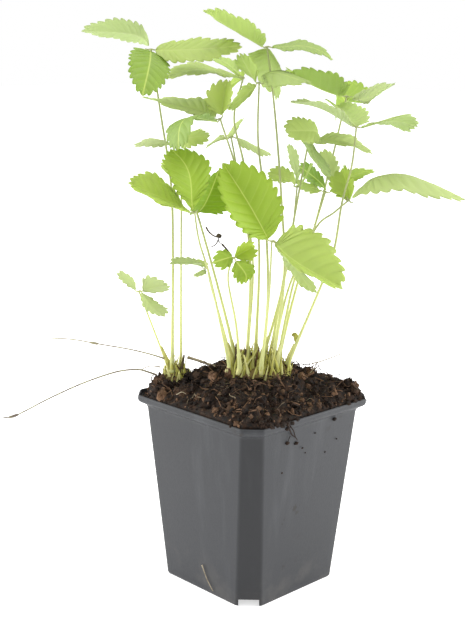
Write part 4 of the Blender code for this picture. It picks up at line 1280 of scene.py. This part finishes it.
# %% Crown finish
def crown_flesh():
    mat = new_material("leaf_base")
    t = mat.node_tree
    own = carried(t, "tone")
    fibre = grain(t, 500.0, 4.0, (1.0, 1.0, 0.2))
    body = blend(t, step(t, fibre, 0.35, 0.65), rgb(150, 146, 58), rgb(200, 198, 104))
    body = blend(t, step(t, own, 0.45, 0.9), body, rgb(226, 224, 156))
    body = blend(t, step(t, own, 0.16, 0.08), body, rgb(110, 84, 54))
    shader = dress(mat, body, 0.6, relief(t, fibre, 0.5, 0.0005), 0.3)
    glow = add(t, "ShaderNodeBsdfTranslucent", None, {"Color": body})
    both = add(t, "ShaderNodeMixShader", None, {0: 0.3, 1: shader.outputs[0], 2: glow.outputs[0]})
    t.links.new(both.outputs[0], t.nodes["Material Output"].inputs["Surface"])
    return mat


CROWN_MAT = crown_flesh()
STUB_MAT = peat("old_stub", rgb(44, 36, 26), rgb(86, 74, 52), rgb(120, 106, 76))
print("crown finishes: leaf_base, old_stub")

# %% Scale tree
def scale_tree():
    tree, given = new_tree("crown_scales", [
        ("Scales per square metre", "Float"), ("Length", "Float"), ("Width", "Float"), ("Seed", "Int"),
        ("Material", "Material")])
    spots = add(tree, "GeometryNodeDistributePointsOnFaces", None, {
        "Mesh": given["Geometry"], "Density": given["Scales per square metre"], "Seed": given["Seed"]})
    cone = add(tree, "GeometryNodeMeshCone", None, {
        "Vertices": 8, "Side Segments": 6, "Radius Top": 0.0002, "Radius Bottom": given["Width"],
        "Depth": given["Length"]})
    flat = add(tree, "GeometryNodeTransform", None,
        {"Geometry": cone.outputs["Mesh"], "Scale": (1.0, 0.55, 1.0)})
    upright = add(tree, "FunctionNodeAlignRotationToVector", {"axis": "Y", "pivot_axis": "Z"},
        {"Vector": spots.outputs["Normal"]})
    lean = add(tree, "FunctionNodeRandomValue", {"data_type": "FLOAT_VECTOR"}, {
        0: (-0.1, -0.35, -0.5), 1: (0.8, 0.35, 0.5), "Seed": 2}).outputs[0]
    nod = add(tree, "FunctionNodeRotateRotation", {"rotation_space": "LOCAL"},
        {0: upright.outputs[0], 1: lean})
    put = add(tree, "GeometryNodeInstanceOnPoints", None, {
        "Points": spots.outputs["Points"], "Instance": flat.outputs[0], "Rotation": nod.outputs[0],
        "Scale": random_float(tree, 0.5, 1.15, given["Seed"])})
    toned = add(tree, "GeometryNodeStoreNamedAttribute", {"data_type": "FLOAT", "domain": "INSTANCE"}, {
        "Geometry": put.outputs[0], "Name": "tone", "Value": random_float(tree, 0.0, 1.0, 9)})
    finish_tree(tree, toned.outputs[0], given["Material"])
    return tree


SCALES = scale_tree()


def crown_ring(spec, grow_by, z, count):
    cx, cy, rl, rw, turned, _, _ = spec
    ring = []
    w = math.radians(turned)
    for i in range(count):
        b = 2 * math.pi * i / count
        lump = grow_by * (1.0 + 0.05 * math.sin(5 * b + 1.0) + 0.04 * math.sin(9 * b)
            + 0.03 * math.sin(17 * b + z))
        x, y = rl * lump * math.cos(b), rw * lump * math.sin(b)
        ring.append(Vector((
            cx + x * math.cos(w) - y * math.sin(w), cy + x * math.sin(w) + y * math.cos(w), z)) * MM)
    return ring


def give_tone(ob, value):
    layer = ob.data.attributes.new("tone", "FLOAT", "POINT")
    layer.data.foreach_set("value", [value] * len(ob.data.vertices))
    return ob


def sheath(name, path, tone_value):
    # a leaf base wrapped round the foot of a stalk: it swells above the peat and narrows to the stalk
    n = len(path)
    radii = []
    for i in range(n):
        f = i / (n - 1)
        radii.append(0.72 + 0.62 * math.sin(math.pi * min(1.0, f * 1.1 + 0.15)) * (1.0 - 0.6 * f))
    radii[-1] = 0.6
    verts, faces = tube(path, radii, 10)
    return give_tone(make_piece(name, [q * MM for q in verts], faces, [CROWN_MAT]), tone_value)


def build_crown(name, spec):
    foot, top = spec[5], spec[6]
    h = top - foot
    loops = [crown_ring(spec, k, foot + h * f, 60) for k, f in (
        (0.86, 0.0), (0.94, 0.1), (0.9, 0.25), (0.8, 0.4), (0.62, 0.55), (0.4, 0.62), (0.15, 0.64))]
    body = give_tone(make_piece(name + "_body", *loft(loops), [CROWN_MAT]), 0.1)
    skirt = make_piece(name + "_skirt", *loft([crown_ring(spec, k, foot + z, 30) for k, z in (
        (1.0, 0.3), (0.8, 3.0), (0.5, 4.6), (0.15, 5.0))], False, False), [])
    size = spec[2] / 17.0
    grow(skirt, SCALES, {
        "Scales per square metre": 200000.0, "Length": 11.0 * MM * (0.6 + 0.4 * size), "Width": 0.8 * MM,
            "Seed": 3,
        "Material": CROWN_MAT})
    parts = [skirt]
    for number, leaf in enumerate(LEAVES.values()):
        if leaf["stalk"][0] != name:
            continue
        points = [Vector(q) for q in leaf["stalk"][1:]] + [Vector(leaf["hub"])]
        path = [q for q in spline(points, 2.0) if q.z < top + 9.0]
        start = path[0] - Vector((0, 0, 6.0))
        middle = Vector((spec[0], spec[1], start.z))
        start = start.lerp(middle, -0.12)
        path = spline([start, path[0] - Vector((0, 0, 2.5))] + path[1:], 1.5)
        parts.append(sheath("sheath", path, 0.5 + 0.5 * (number * 0.37 % 1.0)))
    return join(body, parts)


STUBS = {
    "crown_main": [
        ((1.2, -12.9, 112.0), (1.6, -13.4, 119.0), (2.6, -14.4, 127.0)),
        ((4.4, -9.7, 112.0), (4.2, -9.8, 118.0), (4.6, -9.4, 123.5)),
        ((5.5, -5.8, 113.0), (5.2, -6.2, 121.5)),
        ((16.6, -0.5, 111.0), (16.9, -0.2, 119.5)),
    ],
    "crown_side": [
        ((-27.0, -25.5, 107.0), (-25.6, -25.0, 112.5), (-24.9, -24.5, 117.4)),
    ],
}
for name, spec in CROWNS.items():
    crown = build_crown(name, spec)
    stubs = []
    for path_points in STUBS[name]:
        path = spline([Vector(q) for q in path_points], 1.0)
        radii = [0.95 - 0.45 * i / (len(path) - 1) for i in range(len(path))]
        verts, faces = tube(path, radii, 9)
        stubs.append(give_tone(make_piece("stub", [q * MM for q in verts], faces, [STUB_MAT]), 0.4))
    join(crown, stubs)
    crown.name = name + "_bases"
    hand_over(crown, "crown_flesh", name)
    print(name, "faces:", len(crown.data.polygons))

# %% [markdown]
# ## Runners and loose strands
# Two runners leave the side crown and reach out over the rim: thin, pale, with a joint where a young
# plant would root. A twig, two root fibres and a straw lie on the peat and against the wall. All of them
# are stems from the same tree, the loose ones without hairs and in the straw finish.

# %% Strands
STRANDS = {
    "runner_long": (0.45, (
        (-33.4, -35.7, 107.1), (-35, -40, 109.2), (-37.4, -45.2, 110.9), (-43.5, -54, 110),
        (-53, -67.6, 104.7), (-62.6, -81.2, 97.4), (-73, -94.2, 88.8), (-77.2, -99.7, 87.4)),
            (((-74.5, -96.0, 88.3), 0.8),)),
    "runner_high": (0.38, (
        (-37.5, -27.1, 113.5), (-43.5, -31.5, 115.4), (-53.1, -38.2, 117.4), (-65.3, -47.4, 119.2),
        (-76.7, -55.8, 120.9), (-86.1, -63.7, 121.2)), (((-68.0, -49.3, 119.6), 0.75),)),
    "fibre_right": (0.3, ((19, 24.3, 113.1), (21.3, 29.4, 114), (26.9, 37.6, 117.4)), ()),
    "fibre_left": (0.3, ((-36.7, -30.5, 109.7), (-41.2, -33.5, 109.8), (-45.6, -36.5, 107.3)), ()),
    "twig_on_soil": (0.8, (
        (-33.1, -14.6, 112.8), (-25.7, -11.0, 111.2), (-18.3, -7.6, 109.0), (-12.6, -5.4, 107.2)), ()),
    "straw_on_wall": (0.28, ((2.6, -36.4, 14.9), (5.8, -35.9, 8.2), (9.9, -35.5, 2.9)), ()),
}


def strand(name, radius, points, mat, hairs, joints):
    path = spline([Vector(q) for q in points], 1.5)
    ob = round_stem(name + "_strand", path, radius, radius * 0.75, 0.15, 10, 0.5, hairs, 21, mat)
    knots = []
    for q, size in joints:
        q = Vector(q)
        near = min(range(len(path)), key=lambda i: (path[i] - q).length)
        near = min(max(near, 2), len(path) - 3)
        verts, faces = tube(path[near - 2:near + 3],
            [radius * 0.7, size * 0.9, size, size * 0.85, radius * 0.6], 10)
        knots.append(make_piece("joint", [v * MM for v in verts], faces, [mat]))
    return join(ob, knots) if knots else ob


for name, (radius, points, joints) in STRANDS.items():
    loose = not name.startswith("runner")
    mat = STRAW if loose else RUNNER_MAT
    ob = strand(name, radius, points, mat, 0 if loose else 300000, joints)
    if loose:
        give_tone(ob, 0.8)
    hand_over(ob, "straw" if loose else "runner_pale", name)
print("strands:", len(STRANDS))

# %% [markdown]
# ## Small things that make it real
# Potting is messy. Peat has spilled over the near rim, a few wet crumbs and a curl of root stick to the
# wall below it, and dead roots lie on the mound. One leaf withered before it opened, and its curl hangs
# free, joined to nothing yet. The outermost stalk keeps a small bract. Crumbs are little balls with their
# points pushed about by noise.

# %% Spilled peat
SPILT = (
    (41.4, -17.1, 85.5, 1.0), (41.3, -10.6, 83.9, 1.0), (41.8, 16.7, 90.4, 1.1), (40.2, 12.2, 73.7, 0.45),
    (39.9, -18.8, 70.3, 0.5), (43.2, -34.6, 97.0, 1.3), (43.9, -31.2, 97.4, 1.6), (44.2, -27.4, 97.3, 1.5),
    (44.6, -24.0, 97.0, 1.7), (44.8, -21.0, 96.9, 1.4), (44.9, -18.0, 96.6, 1.2), (45.3, -21.5, 94.6, 1.1),
    (44.4, -13.5, 97.2, 1.1), (44.2, 24.0, 97.6, 1.4), (44.0, 29.5, 97.8, 1.5), (43.6, 33.5, 97.8, 1.4),
    (36.6, -41.4, 97.2, 1.2), (30.0, -43.9, 97.3, 1.1), (41.7, -6.5, 80.6, 0.5), (40.9, 20.0, 79.0, 0.4),
    (41.4, 3.0, 86.0, 0.4), (40.6, -3.0, 77.0, 0.35), (39.0, 9.0, 63.0, 0.35), (38.6, -2.0, 58.5, 0.3),
)
HANGING = (
    (0.42, (44.4, -24.5, 97.4), (45.4, -21.4, 96.2), (44.4, -18.6, 92.6), (42.4, -15.5, 90.0),
        (42.0, -12.5, 87.6)),
    (0.35, (45.2, -19.5, 95.6), (44.3, -16.0, 92.0), (42.1, -12.4, 88.0), (41.9, -10.6, 85.6)),
    (0.22, (42.1, -16.0, 89.0), (41.9, -16.8, 87.2), (41.8, -17.0, 86.2)),
    (0.2, (44.2, 33.0, 97.9), (46.0, 34.6, 98.6), (47.2, 35.4, 96.6), (47.0, 35.4, 94.8)),
)
ROOTS = (
    (0.42, (-32.5, -19.7, 105.0), (-28.4, -20.8, 106.6), (-23.0, -21.8, 108.0), (-17.0, -20.6, 109.6),
        (-9.4, -19.4, 110.2)),
    (0.3, (-34.3, -38.0, 101.9), (-28.7, -38.8, 101.7), (-23.0, -40.3, 100.7), (-16.9, -42.3, 99.3)),
    (0.26, (-33.0, -40.4, 99.6), (-27.5, -41.8, 100.0), (-22.3, -42.6, 99.4)),
    (0.3, (-31.8, -36.8, 104.4), (-27.1, -35.5, 104.2), (-21.7, -36.9, 102.5), (-15.4, -40.4, 100.4)),
    (0.3, (8.4, -35.5, 105.9), (12.6, -36.0, 104.4), (16.4, -37.7, 102.1)),
    (0.5, (21.6, -4.4, 113.4), (27.1, -7.4, 111.2), (29.8, -7.3, 108.9)),
)


def crumb(x, y, z, size, seed):
    bm = bmesh.new()
    bmesh.ops.create_icosphere(bm, subdivisions=3, radius=1.0)
    for v in bm.verts:
        q = v.co.copy()
        coarse = noise.noise(q * 1.3 + Vector((seed, 0, 0)))
        fine = noise.noise(q * 3.1 + Vector((0, seed, 0)))
        rough = 1.0 + 0.35 * coarse + 0.2 * fine
        v.co = (Vector((x, y, z)) + Vector((q.x * 0.8, q.y * 1.15, q.z * 0.8)) * (size * rough)) * MM
    mesh = bpy.data.meshes.new("crumb")
    bm.to_mesh(mesh)
    bm.free()
    mesh.materials.append(PEAT)
    ob = bpy.data.objects.new("crumb", mesh)
    scene.collection.objects.link(ob)
    return give_tone(ob, 0.3 + 0.2 * math.sin(seed * 2.3))


def thread(radius, points, mat, tone_value):
    path = spline([Vector(q) for q in points], 1.0)
    radii = [radius * (1.0 - 0.45 * i / (len(path) - 1)) for i in range(len(path))]
    verts, faces = tube(path, radii, 7)
    return give_tone(make_piece("thread", [q * MM for q in verts], faces, [mat]), tone_value)


spilt = [crumb(*spot, seed) for seed, spot in enumerate(SPILT)]
spilt += [thread(item[0], item[1:], PEAT, 0.45) for item in HANGING]
spilt[0].name = "peat_on_rim"
join(spilt[0], spilt[1:])
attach(spilt[0], BODY)
dead_roots = [thread(item[0], item[1:], PEAT, 0.95) for item in ROOTS]
dead_roots[0].name = "dead_roots"
join(dead_roots[0], dead_roots[1:])
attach(dead_roots[0], BODY)
print("spilt peat:", len(spilt[0].data.polygons), "dead roots:", len(dead_roots[0].data.polygons))

# %% Withered leaf and bract
WITHERED = (
    (0.45, (-1.3, -32.1, 186.8), (-0.2, -31.1, 184.4), (1.5, -29.4, 182.5), (3.2, -27.7, 182.0),
        (2.9, -28.0, 180.6),
     (2.2, -28.8, 178.4), (0.5, -30.4, 177.1)),
    (0.55, (4.3, -26.7, 178.6), (6.0, -25.0, 176.0), (7.7, -23.3, 173.2)),
    (0.3, (2.9, -28.0, 180.6), (3.4, -27.4, 179.4), (4.3, -26.7, 178.6)),
)
withered = [thread(item[0], item[1:], STUB_MAT, 0.5) for item in WITHERED]
withered.append(crumb(3.2, -27.8, 182.6, 1.35, 40))
withered[-1].data.materials.clear()
withered[-1].data.materials.append(STUB_MAT)
withered[0].name = "withered_leaf"
join(withered[0], withered[1:])
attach(withered[0], BODY)
BRACT = ((20.6, 10.3, 126.0), (19.4, 11.4, 128.6), (17.8, 11.8, 130.4), (16.4, 11.2, 129.6))
bract_path = spline([Vector(q) for q in BRACT], 0.8)
bract_radii = [0.5 + 0.9 * math.sin(math.pi * i / (len(bract_path) - 1)) for i in range(len(bract_path))]
bract_verts, bract_faces = tube(bract_path, bract_radii, 10)
bract = give_tone(make_piece("stalk_bract", [q * MM for q in bract_verts], bract_faces, [CROWN_MAT]), 0.4)
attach(bract, BODY)
print("withered leaf:", len(withered[0].data.polygons), "bract:", len(bract.data.polygons))

# %% [markdown]
# ## Hand over
# The dressed plant must fill the same space as the plain part. The pieces were handed over as they
# were made, and the scene is brought up to date.

# %% Finish
bpy.context.view_layer.update()
